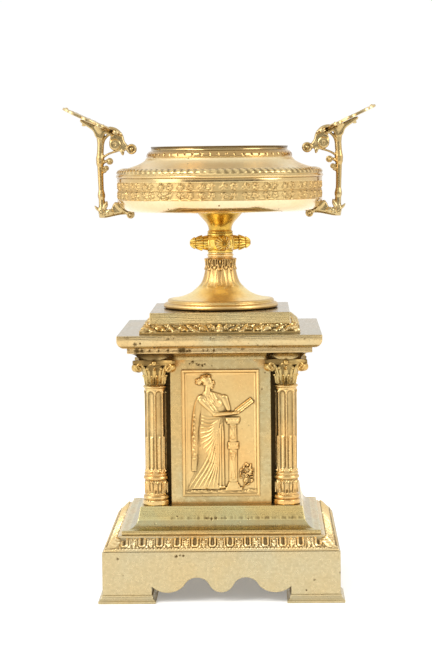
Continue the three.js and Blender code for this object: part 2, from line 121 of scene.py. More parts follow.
class Staging(bpy.types.PropertyGroup):
    distance: length("Camera distance", "From the camera to the middle of the object", 1.7136)
    azimuth: FloatProperty(
        name="Azimuth", description="Camera turn round the object", default=math.radians(1.3), subtype="ANGLE"
    )
    elevation: FloatProperty(
        name="Elevation", description="Camera height angle", default=math.radians(4.7), subtype="ANGLE"
    )
    roll: FloatProperty(name="Roll", description="Camera roll", default=math.radians(-0.62), subtype="ANGLE")
    focal: FloatProperty(
        name="Focal length", description="In pixels of the image's long side", default=2040.0
    )
    floor: colour("Floor", "Plain pale floor", (0.93, 0.93, 0.925))


# Mesh building. Shells are closed surfaces in millimetres, and a piece is one or more of them

Shell = namedtuple("Shell", "points faces relief")


def outward(points, faces):
    """The faces turned so that the closed surface faces out."""
    volume = 0.0
    quads = np.array([f for f in faces if len(f) == 4])
    if len(quads):
        a, b, c, d = (points[quads[:, k]] for k in range(4))
        volume += np.einsum("ij,ij->", a, np.cross(b, c)) + np.einsum("ij,ij->", a, np.cross(c, d))
    for face in faces:
        if len(face) != 4:
            p = points[list(face)]
            volume += np.einsum("ij,ij->", np.broadcast_to(p[0], p[1:-1].shape), np.cross(p[1:-1], p[2:]))
    return faces if volume > 0 else [list(face)[::-1] for face in faces]


def ring_shell(rows, relief=None, loop=False):
    """A closed surface through rings of points, with flat caps unless the rings close on themselves."""
    count, around = rows.shape[:2]
    index = np.arange(count * around).reshape(count, around)
    lower = index if loop else index[:-1]
    upper = np.roll(index, -1, axis=0) if loop else index[1:]
    quads = np.stack([lower, np.roll(lower, -1, 1), np.roll(upper, -1, 1), upper], -1).reshape(-1, 4).tolist()
    caps = [] if loop else [index[0][::-1].tolist(), index[-1].tolist()]
    points = rows.reshape(-1, 3)
    flat = np.zeros(len(points)) if relief is None else relief.reshape(-1)
    return Shell(points, outward(points, quads + caps), flat)


def moved(shell, matrix=None, shift=(0, 0, 0)):
    points = shell.points if matrix is None else shell.points @ np.array(matrix).T
    points = points + np.array(shift, float)
    return Shell(points, outward(points, shell.faces), shell.relief)


def toned(shell, tone):
    """The shell with one tone all over."""
    return Shell(shell.points, shell.faces, np.full(len(shell.points), tone))


def turn_z(angle):
    c, s = math.cos(angle), math.sin(angle)
    return [[c, -s, 0], [s, c, 0], [0, 0, 1]]


MIRROR_X = [[-1, 0, 0], [0, 1, 0], [0, 0, 1]]


def arc(start, end, sagitta, steps=8):
    """Points of a circular arc after its start, bulging to the left of the way by the sagitta."""
    (x0, z0), (x1, z1) = start, end
    chord = math.hypot(x1 - x0, z1 - z0)
    half = 2 * math.atan(2 * sagitta / chord)
    radius = chord / 2 / math.sin(half)
    points = []
    for k in range(1, steps + 1):
        angle = half * (2 * k / steps - 1)
        run = chord / 2 + radius * math.sin(angle)
        rise = radius * (math.cos(angle) - math.cos(half))
        points.append(
            (
                x0 + ((x1 - x0) * run - (z1 - z0) * rise) / chord,
                z0 + ((z1 - z0) * run + (x1 - x0) * rise) / chord
            )
        )
    return points


def rounded(points, radius=0.4, steps=3):
    """An outline whose sharp corners are rounded off; the ends and gentle bends stay."""
    p = np.array(points, float)
    out = [p[0]]
    for before, here, after in zip(p[:-2], p[1:-1], p[2:]):
        back, ahead = before - here, after - here
        lb, la = np.linalg.norm(back), np.linalg.norm(ahead)
        bend = math.pi - math.acos(np.clip(back @ ahead / (lb * la), -1, 1))
        if bend < GENTLE_BEND:
            out.append(here)
            continue
        reach = min(radius * math.tan(bend / 2), 0.42 * lb, 0.42 * la)
        a, b = here + back / lb * reach, here + ahead / la * reach
        for k in range(steps + 1):
            t = k / steps
            out.append((1 - t) ** 2 * a + 2 * t * (1 - t) * here + t**2 * b)
    out.append(p[-1])
    return [tuple(q) for q in out]


def resampled(points, step):
    """Evenly spaced points along an outline."""
    p = np.array(points, float)
    run = np.concatenate([[0], np.cumsum(np.linalg.norm(np.diff(p, axis=0), axis=1))])
    count = max(2, int(round(run[-1] / step)) + 1)
    at = np.linspace(0, run[-1], count)
    return np.stack([np.interp(at, run, p[:, 0]), np.interp(at, run, p[:, 1])], 1)


def smooth_curve(points, steps=6):
    """A curve through given points, of any dimension."""
    p = np.array(points, float)
    p = np.vstack([2 * p[0] - p[1], p, 2 * p[-1] - p[-2]])
    out = []
    for a, b, c, d in zip(p[:-3], p[1:-2], p[2:-1], p[3:]):
        for k in range(steps):
            t = k / steps
            out.append(
                0.5
                * (2 * b + (c - a) * t + (2 * a - 5 * b + 4 * c - d) * t**2 + (3 * b - a - 3 * c + d) * t**3)
            )
    out.append(p[-2])
    return np.array(out)


def profile_rows(spans, step):
    """Samples a profile's spans. A span is its points and, if carved, the rule for the carving's height.

    A straight carved span may also list the stretches that need every row. Others keep one row in four."""
    places, carved = [], []
    for points, carve, *close in spans:
        rows = resampled(points, step) if carve else np.array(points, float)
        for stretches in close:
            up = np.linalg.norm(rows - rows[0], axis=1)
            kept = np.any([(up >= low) & (up <= high) for low, high in stretches], axis=0)
            rows = rows[kept | (np.arange(len(rows)) % 4 == 0)]
        if places and np.allclose(rows[0], places[-1][-1]):
            rows = rows[1:]
        start = sum(len(r) for r in places)
        if carve:
            run = np.concatenate([[0], np.cumsum(np.linalg.norm(np.diff(rows, axis=0), axis=1))])
            carved.append((start, start + len(rows), run, carve))
        places.append(rows)
    rows = np.vstack(places)
    tangent = np.gradient(rows, axis=0)
    tangent /= np.maximum(np.linalg.norm(tangent, axis=1), 1e-9)[:, None]
    return rows, np.stack([tangent[:, 1], -tangent[:, 0]], 1), carved


def blurred(grid, cells):
    """Mean over a square window that reaches the given number of cells each way."""
    for axis in (0, 1):
        reach = min(cells, (grid.shape[axis] - 1) // 2)
        if reach < 1:
            continue
        pad = [(0, 0), (0, 0)]
        pad[axis] = (reach + 1, reach)
        total = np.cumsum(np.pad(grid, pad, mode="edge"), axis=axis)
        window = 2 * reach + 1
        upper = np.take(total, range(window, total.shape[axis]), axis)
        lower = np.take(total, range(total.shape[axis] - window), axis)
        grid = (upper - lower) / window
    return grid


def worn_and_shaded(height, tone, up_step, side_step, cells):
    """A carving's tone: painted shade on the flanks, patina and painted shade in the valleys, and crests
    bright where rubbed.
    """
    slope = np.hypot(np.gradient(height, axis=0) / up_step, np.gradient(height, axis=1) / side_step)
    return tone - FLANK_PAINTED_SHADE * np.clip(slope, 0, STEEPEST) + VALLEY_PATINA_AND_SHADE * (height - blurred(height, cells))


def stained(made, up_step, side_step):
    """A carving's height and its tone, from the rule's own tone or else from its height, with painted shade
    on flanks and in valleys.
    """
    height, tone = made if isinstance(made, tuple) else (made, made)
    return height, worn_and_shaded(height + 0 * tone, tone + 0 * height, up_step, side_step, 2)


def turned(spans, sides, step=0.5, loop=False):
    """A piece turned about Z. Carving rules get the turn, from 0 to 1, and the way up the span in mm.

    They return the carving's height, or its height and its tone."""
    rows, normal, carved = profile_rows(spans, step)
    turn = np.arange(sides) / sides
    height = np.zeros((len(rows), sides))
    tone = np.zeros((len(rows), sides))
    for start, stop, run, carve in carved:
        side_step = TAU * rows[start:stop, :1] / sides
        made = carve(turn[None, :], run[:, None])
        height[start:stop], tone[start:stop] = stained(made, np.gradient(run)[:, None], side_step)
    radius = rows[:, :1] + normal[:, :1] * height
    level = rows[:, 1:] + normal[:, 1:] * height
    points = np.stack([radius * np.sin(TAU * turn), -radius * np.cos(TAU * turn), level], -1)
    return ring_shell(points, tone, loop)


def squared(spans, arris, per_side=1, step=0.5):
    """A square moulding about Z, its corners rounded by the arris.

    Carving rules get the way along the side from its middle, the way up the span, the side's half-width
    there, and the side's number, which is 0 at the front, then right, back and left."""
    rows, normal, carved = profile_rows(spans, step)
    along = np.linspace(-1, 1, per_side + 1)
    corner = np.radians([30, 60])
    part = np.concatenate([along, [1, 1]])
    out_a = np.concatenate([along * 0, np.sin(corner)])
    out_b = np.concatenate([along * 0 + 1, np.cos(corner)])
    half = rows[:, :1]
    sides, tones = [], []
    for side in range(4):
        height = np.zeros((len(rows), len(part)))
        tone = np.zeros((len(rows), len(part)))
        for start, stop, run, carve in carved:
            edge = half[start:stop] - arris
            made = carve(part[None, :] * edge, run[:, None], edge, side)
            height[start:stop], tone[start:stop] = stained(
                made, np.gradient(run)[:, None], 2 * edge / per_side
            )
        grown = half + normal[:, :1] * height - arris
        a = part * grown + out_a * arris
        b = grown + out_b * arris
        level = rows[:, 1:] + normal[:, 1:] * height
        turns = ((a, -b), (b, a), (-a, b), (-b, -a))
        sides.append(np.stack([*turns[side], level], -1))
        tones.append(tone)
    return ring_shell(np.concatenate(sides, 1), np.concatenate(tones, 1))


def tube(path, radii, around, squash=1.0):
    """A round bar along a path in the XZ plane; squash flattens or widens it across that plane."""
    p = np.array(path, float)
    tangent = np.gradient(p, axis=0)
    tangent /= np.linalg.norm(tangent, axis=1)[:, None]
    side = np.stack([-tangent[:, 1], tangent[:, 0]], 1)
    angle = np.arange(around) / around * TAU
    reach = np.array(radii, float)[:, None]
    x = p[:, :1] + side[:, :1] * reach * np.cos(angle)
    z = p[:, 1:] + side[:, 1:] * reach * np.cos(angle)
    y = reach * np.sin(angle) * squash
    return ring_shell(np.stack([x, y, z], -1))


def cushion(outline, thick, crown=0.0, edge=0.5, rings=4):
    """A flat piece with rounded edges whose outline lies in XZ; crown swells its faces."""
    p = np.array(outline, float)
    after, before = np.roll(p, -1, 0), np.roll(p, 1, 0)
    way = after - before
    way /= np.maximum(np.linalg.norm(way, axis=1), 1e-9)[:, None]
    inward = np.stack([-way[:, 1], way[:, 0]], 1)
    area = 0.5 * np.sum(p[:, 0] * after[:, 1] - after[:, 0] * p[:, 1])
    inward *= 1 if area > 0 else -1
    middle = p.mean(0)
    rows = []
    for k in range(rings + 1):
        angle = math.pi / 2 * k / rings
        rows.append((edge * (1 - math.cos(angle)), thick / 2 - edge + edge * math.sin(angle)))
    layers = [np.column_stack([p + inward * inset, np.full(len(p), -y)]) for inset, y in rows]
    crowned = middle + (p + inward * edge - middle) * 0.55
    if crown:
        layers.append(np.column_stack([crowned, np.full(len(p), -(thick / 2 + crown))]))
    front = [layer[:, [0, 2, 1]] for layer in layers][::-1]
    back = [layer * [1, -1, 1] for layer in front[::-1]]
    return ring_shell(np.array(front + back))


def assemble(name, shells, gilding, nodes):
    """One object from its shells, in metres, smooth, with the carving's tone, which holds patina, rubbing and
    painted shade, kept for its material.
    """
    points, faces, relief, start = [], [], [], 0
    for shell in shells:
        points.append(shell.points)
        faces += [[start + k for k in face] for face in shell.faces]
        relief.append(shell.relief)
        start += len(shell.points)
    mesh = bpy.data.meshes.new(name)
    mesh.from_pydata((np.vstack(points) * MM).tolist(), [], faces)
    layer = mesh.attributes.new("relief", "FLOAT", "POINT")
    layer.data.foreach_set("value", np.concatenate(relief).astype(np.float32))
    cleaner = bmesh.new()
    cleaner.from_mesh(mesh)
    bmesh.ops.remove_doubles(cleaner, verts=cleaner.verts, dist=1e-7)
    bmesh.ops.dissolve_degenerate(cleaner, edges=cleaner.edges, dist=1e-7)
    cleaner.to_mesh(mesh)
    cleaner.free()
    mesh.shade_smooth()
    mesh.set_sharp_from_angle(angle=SHARP_ANGLE)
    piece = bpy.data.objects.new(name, mesh)
    bpy.context.scene.collection.objects.link(piece)
    weighted = piece.modifiers.new("flat faces stay flat", "WEIGHTED_NORMAL")
    weighted.keep_sharp = True
    mesh.materials.append(gilding_material(gilding))
    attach(piece, "root")
    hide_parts(*nodes)
    return piece


# Carving: each brush gives the height of a motif over flat coordinates in millimetres


def dome(x, y, rx, ry, height):
    return height * np.sqrt(np.clip(1 - (x / rx) ** 2 - (y / ry) ** 2, 0, 1))


def bead(distance, half, height):
    """A round moulding at a distance from its middle line."""
    return height * np.sqrt(np.clip(1 - (distance / half) ** 2, 0, 1))


def listed(curve):
    return [tuple(p) for p in curve]


def highest(*heights):
    return np.maximum.reduce(heights)


def soft_step(x, low, high):
    t = np.clip((x - low) / (high - low), 0, 1)
    return t * t * (3 - 2 * t)


def leaf(x, y, width, tall, height, lobes=3):
    """An acanthus leaf with its root at y 0 and its tip at the full height."""
    t = np.clip(y / tall, 0, 1)
    half = 0.5 * width * np.sin(math.pi * np.clip(0.14 + 0.86 * t, 0, 1)) ** 0.65
    half = half * (1 - 0.2 * np.abs(np.cos(math.pi * lobes * t))) + 1e-6
    q = np.abs(x) / half
    body = np.sqrt(np.clip(1 - q**2, 0, 1)) * (0.55 + 0.45 * t)
    veins = 0.16 * np.cos(TAU * (1.1 * q + lobes * t)) * np.clip(4 * q, 0, 1)
    rib = 0.3 * np.exp(-((x / (0.07 * width)) ** 2))
    return np.where((y > 0) & (y < tall) & (q < 1), height * body * (1 + veins + rib) / 1.2, 0)


def flower(x, y, petals, radius, height, spin=0.0):
    """A rosette of petals round a boss."""
    reach = np.hypot(x, y)
    angle = np.arctan2(y, x) / TAU * petals + spin
    local = (angle - np.round(angle)) * TAU / petals
    px, py = reach * np.cos(local) - 0.6 * radius, reach * np.sin(local)
    ring = dome(px, py, 0.42 * radius, 0.3 * radius * 6 / petals, height)
    return np.maximum(ring, dome(x, y, 0.22 * radius, 0.22 * radius, height))


def spray(x, y, radius, height, lean=0.0):
    """Five leaflets that fan out from a stem."""
    out = bead(
        np.hypot(x + lean * y * 0.1, (np.abs(y + 0.5 * radius) - 0.4 * radius).clip(0)), 0.16 * radius,
        height
    )
    for k in range(-2, 3):
        angle = k * 0.62 + lean
        px = x * math.cos(angle) + (y + 0.35 * radius) * -math.sin(angle)
        py = x * math.sin(angle) + (y + 0.35 * radius) * math.cos(angle)
        out = np.maximum(out, dome(px, py - 0.72 * radius, 0.2 * radius, 0.5 * radius, height))
    return out


def repeated(turn, count, circumference):
    """Way across one of the motifs round a ring, from its middle."""
    place = turn * count
    return (place - np.floor(place) - 0.5) * circumference / count


# Finishes

Gilding = namedtuple(
    "Gilding", "slot body second mottle rough brushed stained spots zones warmed", defaults=[(), (), ()]
)

# A zone of a piece between two heights in millimetres: its tint, which paints that band lighter or darker
# with painted light, shade and reflection as well as the gilding's own colour, how much duller it is, and its
# soft border
Zone = namedtuple("Zone", "low high tint dull soft", defaults=[0.0, 0.4])

# Stained spots on the front, as X and Z in millimetres and radius
CORNICE_SPOTS = [
    (-66.5, 201.6, 3.2), (-62.6, 201.4, 2.4), (-29.0, 201.8, 3.2), (-24.0, 201.3, 2.0), (-41.5, 201.5, 1.8),
    (-56.3, 201.5, 1.5), (-49.0, 201.4, 1.4), (-31.5, 201.6, 3.0),
    (-26.0, 201.2, 1.6), (-13.0, 201.4, 1.2), (-9.5, 201.6, 1.0), (-4.5, 201.3, 1.6), (-67.5, 207.5, 2.0),
    (-7.0, 212.2, 1.0), (-36.6, 212.2, 0.8), (-63.5, 208.1, 1.0), (68.5, 211.0, 0.8), (-52.0, 204.2, 0.9),
]
DADO_SPOTS = [
    (-22.5, 190.5, 1.6), (-19.5, 188.8, 1.2), (-17.2, 188.0, 1.5), (-14.6, 187.4, 1.4), (-12.4, 188.4, 1.0),
    (-25.0, 189.0, 0.9), (33.6, 167.8, 0.8), (-7.0, 187.4, 0.7), (36.2, 181.0, 0.8),
]
BASE_SPOTS = [
    (-36.0, 38.0, 1.6), (-33.0, 39.0, 1.0), (-30.4, 38.4, 1.2), (74.4, 18.4, 1.1), (68.0, 9.8, 0.9),
    (-83.0, 36.0, 1.2)
]
STEP_SPOTS = [
    (-12.0, 63.6, 1.5), (-8.0, 63.4, 1.8), (-4.4, 63.6, 1.4), (-36.0, 64.8, 0.9), (4.0, 63.3, 1.0),
    (22.0, 63.2, 1.2),
]

# Warm patches at the die's upper corners, as X and Z in millimetres and radius, and their tint
DADO_WARM = [
    (-37.0, 189.5, 6.0), (-31.0, 191.8, 3.4), (35.0, 190.0, 6.5), (39.0, 186.0, 4.5), (-39.5, 184.0, 3.0),
    (29.0, 192.0, 2.6),
]
WARM_TINT = (1.12, 0.86, 0.62)

# The bands' tints paint light and shade as it falls on each band, besides the gilding's own colour; the die's
# orange foot is a painted reflection of the step below, and the pale bluish tint in the bowl's shoulder
# hollow a painted reflection of the white sweep
STEP_ZONES = [
    Zone(52.0, 55.9, (0.84, 0.70, 0.60)), Zone(55.9, 62.4, (0.74, 0.74, 0.78)),
    Zone(62.8, 73.0, (1.07, 1.04, 0.97)),
]
DADO_ZONES = [Zone(73.0, 75.8, (1.05, 0.82, 0.62), 0.0, 1.2)]
COLUMN_ZONES = [Zone(171.6, 194.0, (0.84, 0.86, 0.78))]
CORNICE_ZONES = [
    Zone(192.0, 199.0, (0.72, 0.70, 0.66)), Zone(199.2, 203.4, (0.80, 0.73, 0.69)),
    Zone(203.4, 213.6, (0.86, 0.84, 0.85)),
    Zone(213.7, 215.0, (0.62, 0.64, 0.66), 0.0, 0.2),
]
UPPER_ZONES = [Zone(221.0, 230.2, (0.98, 0.96, 0.90)), Zone(230.3, 231.0, (0.66, 0.67, 0.76), 0.0, 0.15)]
LEAF_ZONES = [Zone(213.9, 222.0, (0.90, 0.88, 0.78))]
FOOT_ZONES = [
    Zone(230.0, 238.6, (0.70, 0.63, 0.56)), Zone(231.5, 256.0, (1.12, 1.22, 1.20), 0.0, 7.0),
    Zone(246.0, 278.0, (0.70, 0.60, 0.47), 0.0, 7.0),
]
SOCKET_ZONES = [Zone(276.0, 293.4, (0.94, 1.02, 1.08)), Zone(293.4, 312.0, (0.73, 0.71, 0.60))]
BOWL_ZONES = [
    Zone(311.0, 321.8, (1.02, 1.04, 1.30)), Zone(321.9, 336.3, (0.72, 0.68, 0.62), 0.34),
    Zone(336.4, 342.2, (0.80, 0.77, 0.76)), Zone(346.8, 356.2, (1.06, 1.13, 1.36), 0.2),
    Zone(356.0, 361.4, (0.64, 0.55, 0.46)), Zone(361.2, 366.0, (0.56, 0.54, 0.54)),
]

GILDINGS = {
    "pale base": Gilding(
        "pale_gilt", (0.56, 0.44, 0.235), (0.53, 0.45, 0.27), 0.35, 0.30, 0.5, 0.5, BASE_SPOTS
    ),
    "pale step": Gilding(
        "pale_gilt", (0.68, 0.51, 0.21), (0.62, 0.55, 0.28), 0.45, 0.25, 0.8, 0.95, STEP_SPOTS, STEP_ZONES
    ),
    "pale dado": Gilding(
        "pale_gilt", (0.60, 0.41, 0.165), (0.51, 0.42, 0.22), 0.5, 0.30, 0.3, 0.9, DADO_SPOTS, DADO_ZONES,
        DADO_WARM
    ),
    "pale cornice": Gilding(
        "pale_gilt", (0.70, 0.51, 0.23), (0.60, 0.50, 0.27), 0.6, 0.22, 0.8, 0.95, CORNICE_SPOTS,
        CORNICE_ZONES
    ),
    "pale upper step": Gilding(
        "pale_gilt", (0.70, 0.51, 0.23), (0.60, 0.50, 0.27), 0.6, 0.22, 0.8, 0.95, (), UPPER_ZONES
    ),
    "warm moulding": Gilding(
        "warm_gilt", (0.84, 0.60, 0.27), (0.77, 0.63, 0.36), 0.4, 0.30, 0.0, 0.84, (), LEAF_ZONES
    ),
    "warm plaque": Gilding("warm_gilt", (0.73, 0.455, 0.17), (0.70, 0.49, 0.205), 0.25, 0.32, 0.0, 0.9),
    "warm column": Gilding(
        "warm_gilt", (0.65, 0.40, 0.145), (0.59, 0.44, 0.20), 0.4, 0.26, 0.0, 1.0, (), COLUMN_ZONES
    ),
    "warm tazza": Gilding(
        "warm_gilt", (0.84, 0.62, 0.28), (0.86, 0.64, 0.31), 0.3, 0.34, 0.0, 0.9, (), FOOT_ZONES
    ),
    "warm socket": Gilding(
        "warm_gilt", (0.72, 0.44, 0.09), (0.74, 0.48, 0.12), 0.3, 0.24, 0.0, 0.95, (), SOCKET_ZONES
    ),
    "warm handle": Gilding("warm_gilt", (0.50, 0.345, 0.14), (0.50, 0.38, 0.185), 0.3, 0.26, 0.0, 0.95),
    "warm plate": Gilding("warm_gilt", (0.62, 0.44, 0.19), (0.62, 0.48, 0.25), 0.3, 0.26, 0.0, 0.95),
    "bright bowl": Gilding(
        "bright_gilt", (0.78, 0.54, 0.23), (0.75, 0.58, 0.28), 0.2, 0.15, 0.15, 0.95, (), BOWL_ZONES
    ),
}


def wire(tree, kind, inputs=None, output=0, **settings):
    """Adds a shader node with its settings, links or values, and returns one of its outputs."""
    made = tree.nodes.new("ShaderNode" + kind)
    for key, value in settings.items():
        setattr(made, key, value)
    for key, value in (inputs or {}).items():
        if isinstance(value, bpy.types.NodeSocket):
            tree.links.new(value, made.inputs[key])
        else:
            made.inputs[key].default_value = value
    return made.outputs[output]


def noise(tree, where, scale, detail=3.0, stretch=(1, 1, 1)):
    placed = wire(tree, "Mapping", {"Vector": where, "Scale": stretch})
    return wire(tree, "TexNoise", {"Vector": placed, "Scale": scale, "Detail": detail})


def ramped(tree, value, low, high, start=0.0, end=1.0):
    return wire(
        tree, "MapRange", {"Value": value, "From Min": low, "From Max": high, "To Min": start, "To Max": end}
    )


def math_node(tree, operation, a, b):
    return wire(tree, "Math", {0: a, 1: b}, operation=operation)


def times(tree, a, b):
    return math_node(tree, "MULTIPLY", a, b)


def blended(tree, factor, a, b, how="MIX"):
    return wire(tree, "Mix", {0: factor, 6: a, 7: b}, output=2, data_type="RGBA", blend_type=how)


def opaque(rgb):
    return (*rgb, 1.0)


def spot_cover(tree, where, spots):
    """How much the given spots cover, with ragged edges."""
    ragged = wire(tree, "TexNoise", {"Vector": where, "Scale": 900.0, "Detail": 2.0}, output=1)
    shifted = wire(tree, "VectorMath", {0: ragged, 1: (0.5, 0.5, 0.5)}, operation="SUBTRACT")
    small = wire(tree, "VectorMath", {0: shifted, 1: (0.003, 0.003, 0.003)}, operation="MULTIPLY")
    moved_by = wire(tree, "VectorMath", {0: where, 1: small}, operation="ADD")
    flat = wire(tree, "VectorMath", {0: moved_by, 1: (1, 0, 1)}, operation="MULTIPLY")
    cover = None
    for x, z, radius in spots:
        away = wire(
            tree, "VectorMath", {0: flat, 1: (x * MM, 0, z * MM)}, output="Value", operation="DISTANCE"
        )
        here = ramped(tree, away, radius * MM, 0.35 * radius * MM)
        cover = here if cover is None else math_node(tree, "MAXIMUM", cover, here)
    depth = wire(tree, "SeparateXYZ", {"Vector": where}, output=1)
    return times(tree, cover, ramped(tree, depth, -0.02, -0.03))


def within_zone(tree, level, zone):
    """One inside a zone of heights and nought outside it."""
    above = ramped(tree, level, zone.low * MM, (zone.low + zone.soft) * MM)
    below = ramped(tree, level, zone.high * MM, (zone.high - zone.soft) * MM)
    return times(tree, above, below)


def gilding_material(name):
    """Worn gilding: mottled gold with painted light and shade band by band, brown patina and painted shade in
    the hollows and corners, bright rubbed crests and a few pits.
    """
    if name in bpy.data.materials:
        return bpy.data.materials[name]
    finish = bpy.context.scene.centerpiece_finish
    kind = GILDINGS[name]
    material = bpy.data.materials.new(name)
    material.use_nodes = True
    tree = material.node_tree
    shader = tree.nodes["Principled BSDF"]
    shader.inputs["Metallic"].default_value = 1.0
    darker, stain_roughness, pit_depth = 0.72, 0.22, -2.0

    where = wire(tree, "TexCoord", output=3)
    relief = wire(tree, "Attribute", output=2, attribute_name="relief")
    clouds = noise(tree, where, 22.0, 3.0)
    grain = noise(tree, where, 420.0, 4.0)
    streaks = noise(tree, where, 1.0, 3.0, (35, 35, 1400))
    occlusion_shade = wire(tree, "AmbientOcclusion", {"Distance": 0.007}, output=1, samples=6)

    colour_way = ramped(tree, clouds, 0.38, 0.62)
    colour_here = blended(tree, colour_way, opaque(kind.body), opaque(kind.second))
    mottled = blended(
        tree, ramped(tree, grain, 0.45, 0.72, 0.0, kind.mottle), colour_here,
        opaque([darker * c for c in kind.body])
    )
    rubbed = ramped(tree, relief, 0.25, 1.1, 0.0, 0.45)
    crested = blended(tree, rubbed, mottled, opaque([min(1, 1.12 * c + 0.02) for c in kind.body]))
    level = wire(tree, "SeparateXYZ", {"Vector": where}, output=2)
    # Each zone's tint paints its band lighter or darker: painted light and shade as well as the gilding's own
    # colour
    zones = [(zone, within_zone(tree, level, zone)) for zone in kind.zones]
    for zone, within in zones:
        crested = blended(tree, within, crested, opaque(zone.tint), "MULTIPLY")
    if kind.warmed:
        crested = blended(tree, spot_cover(tree, where, kind.warmed), crested, opaque(WARM_TINT), "MULTIPLY")
    # Patina and painted shade where the carving's tone is low, and painted shade in corners from ambient
    # occlusion
    hollow = ramped(tree, relief, -0.15, -0.9, 0.0, 0.8)
    corner = ramped(tree, occlusion_shade, 0.62, 0.22)
    patches = ramped(tree, noise(tree, where, 60.0, 4.0), 0.35, 0.62, 0.45, 1.0)
    sunk = times(tree, math_node(tree, "MAXIMUM", hollow, corner), patches)
    patina_and_corner_shade = times(tree, sunk, kind.stained)
    pits = wire(tree, "TexVoronoi", {"Vector": where, "Scale": 170.0, "Randomness": 1.0})
    rare = ramped(tree, noise(tree, where, 45.0, 2.0), 0.60, 0.68)
    pitted = times(tree, ramped(tree, pits, 0.16, 0.08), rare)
    marks = times(tree, pitted, kind.stained)
    if kind.spots:
        marks = math_node(tree, "MAXIMUM", marks, spot_cover(tree, where, kind.spots))
    # Darkest where the tone is lowest: patina and painted shade in deep recesses
    darkest_patina_and_shade = ramped(tree, relief, -1.1, -1.9, 0.0, 0.96)
    cover = math_node(tree, "MAXIMUM", math_node(tree, "MAXIMUM", patina_and_corner_shade, marks), darkest_patina_and_shade)
    final = blended(tree, cover, crested, opaque(finish.stain))
    tree.links.new(final, shader.inputs["Base Color"])

    uneven = ramped(tree, grain, 0.3, 0.7, kind.rough - 0.06, kind.rough + 0.08)
    dulled = math_node(tree, "ADD", uneven, ramped(tree, cover, 0.0, 1.0, 0.0, stain_roughness))
    for zone, within in zones:
        if zone.dull:
            dulled = math_node(tree, "ADD", dulled, times(tree, within, zone.dull))
    tree.links.new(dulled, shader.inputs["Roughness"])

    brushed = times(tree, streaks, kind.brushed)
    rough_cast = times(tree, noise(tree, where, 160.0, 3.0), 0.6)
    surface = math_node(tree, "ADD", brushed, rough_cast)
    bumps = math_node(tree, "ADD", surface, times(tree, marks, pit_depth))
    bump = wire(tree, "Bump", {"Height": bumps, "Strength": 0.35, "Distance": 0.0004})
    tree.links.new(bump, shader.inputs["Normal"])
    return material


# Shapes shared by several pieces


def scroll(radius, thick, turns, around=40, rings=14):
    """A disc standing in the XZ plane with a spiral raised on both faces."""
    angle = np.arange(around) / around * TAU
    reach = np.linspace(0.04, 1, rings)[:, None]
    line = reach * turns - angle[None, :] / TAU
    away = np.abs(line - np.round(line)) / turns * radius
    ridge = bead(away, 0.2 * radius, 0.16 * radius) * (reach < 0.96)
    eye = dome(reach * radius, 0 * reach, 0.22 * radius, 1, 0.3 * radius)
    swell = np.maximum(ridge, eye) - 0.1 * radius * (reach < 0.96)
    front = -(thick / 2 + swell)
    x = reach * radius * np.cos(angle)
    z = reach * radius * np.sin(angle)
    rim = np.stack([1.05 * radius * np.cos(angle), np.zeros(around), 1.05 * radius * np.sin(angle)], -1)
    face = np.stack([x, front, z], -1)
    rows = np.concatenate(
        [face, rim[None] + [0, -0.3 * thick, 0], rim[None] + [0, 0.3 * thick, 0], face[::-1] * [1, -1, 1]]
    )
    relief = np.concatenate([swell, np.zeros((2, around)), swell[::-1]])
    return ring_shell(rows, relief)


def button(radius, thick, profile, around=36):
    """A round boss standing in the XZ plane, alike on both faces, from shares of its radius and ways out."""
    angle = np.arange(around) / around * TAU
    half = [(share * radius, thick / 2 + out * radius) for share, out in profile]
    rows = [(r, -out) for r, out in half] + [(r, out) for r, out in half[::-1]]
    return ring_shell(
        np.array([np.stack([r * np.cos(angle), 0 * angle + y, r * np.sin(angle)], -1) for r, y in rows])
    )


def blob(x, y, z, rx, ry, rz, around=14, rings=9):
    """A rounded knob."""
    angle = np.arange(around) / around * TAU
    lean = np.linspace(-0.5 * math.pi + 0.12, 0.5 * math.pi - 0.12, rings)[:, None]
    points = np.stack(
        [
            x + rx * np.cos(lean) * np.cos(angle), y + ry * np.cos(lean) * np.sin(angle),
            z + rz * np.sin(lean) + 0 * angle
        ], -1
    )
    return ring_shell(points)


def prism(outline, low, high, edge):
    """An upright prism over an outline in XY with softened top and bottom edges."""
    p = np.array(outline, float)
    middle = p.mean(0)
    size = np.abs(p - middle).max()
    inner = middle + (p - middle) * (1 - edge / size)
    rows = [(inner, low), (p, low + edge), (p, high - edge), (inner, high)]
    return ring_shell(np.array([np.column_stack([q, np.full(len(q), z)]) for q, z in rows]))


def node_box(name):
    """Lowest and highest corners of a node, in millimetres."""
    low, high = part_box(name)
    return np.array(low) / MM, np.array(high) / MM


def centerpiece(context):
    scene = context.scene
    return scene.centerpiece_plinth, scene.centerpiece_tazza


class PieceOperator:
    """What all the piece operators share."""

    bl_options = {"REGISTER", "UNDO"}


# The plinth, from the floor up


def apron_height(x, opening):
    """Height of the scalloped edge under one side, over the clear span between the feet."""
    lobe, spring, cusp = (opening, 13.1), (30.4, 13.4), (10.4, 15.9)
    edge = [(-cusp[0], cusp[1])] + arc((-cusp[0], cusp[1]), cusp, -7.5, 16)
    edge += arc(cusp, spring, 5.8, 12) + arc(spring, lobe, -5.0, 12)
    edge = np.array(edge)
    return np.interp(np.abs(x), edge[edge[:, 0] >= 0, 0], edge[edge[:, 0] >= 0, 1])


def foot_skirt(x, y, half):
    """The flared moulding round one foot block."""
    flare = [
        (half + 3.1, 0), (half + 3.4, 0.3), (half + 3.4, 1.9), (half + 2.9, 2.2), (half + 2.6, 2.4),
        (half + 2.6, 2.8)
    ]
    flare += (
        arc((half + 2.4, 3.0), (half + 0.7, 5.6), 0.35, 5)
        + [(half + 0.9, 5.9), (half + 0.8, 6.5), (half, 6.8)]
    )
    flare = [(half - 2, 0)] + flare + [(half - 2, 6.8)]
    return moved(squared([(flare, None)], 0.6), shift=(x, y, 0))


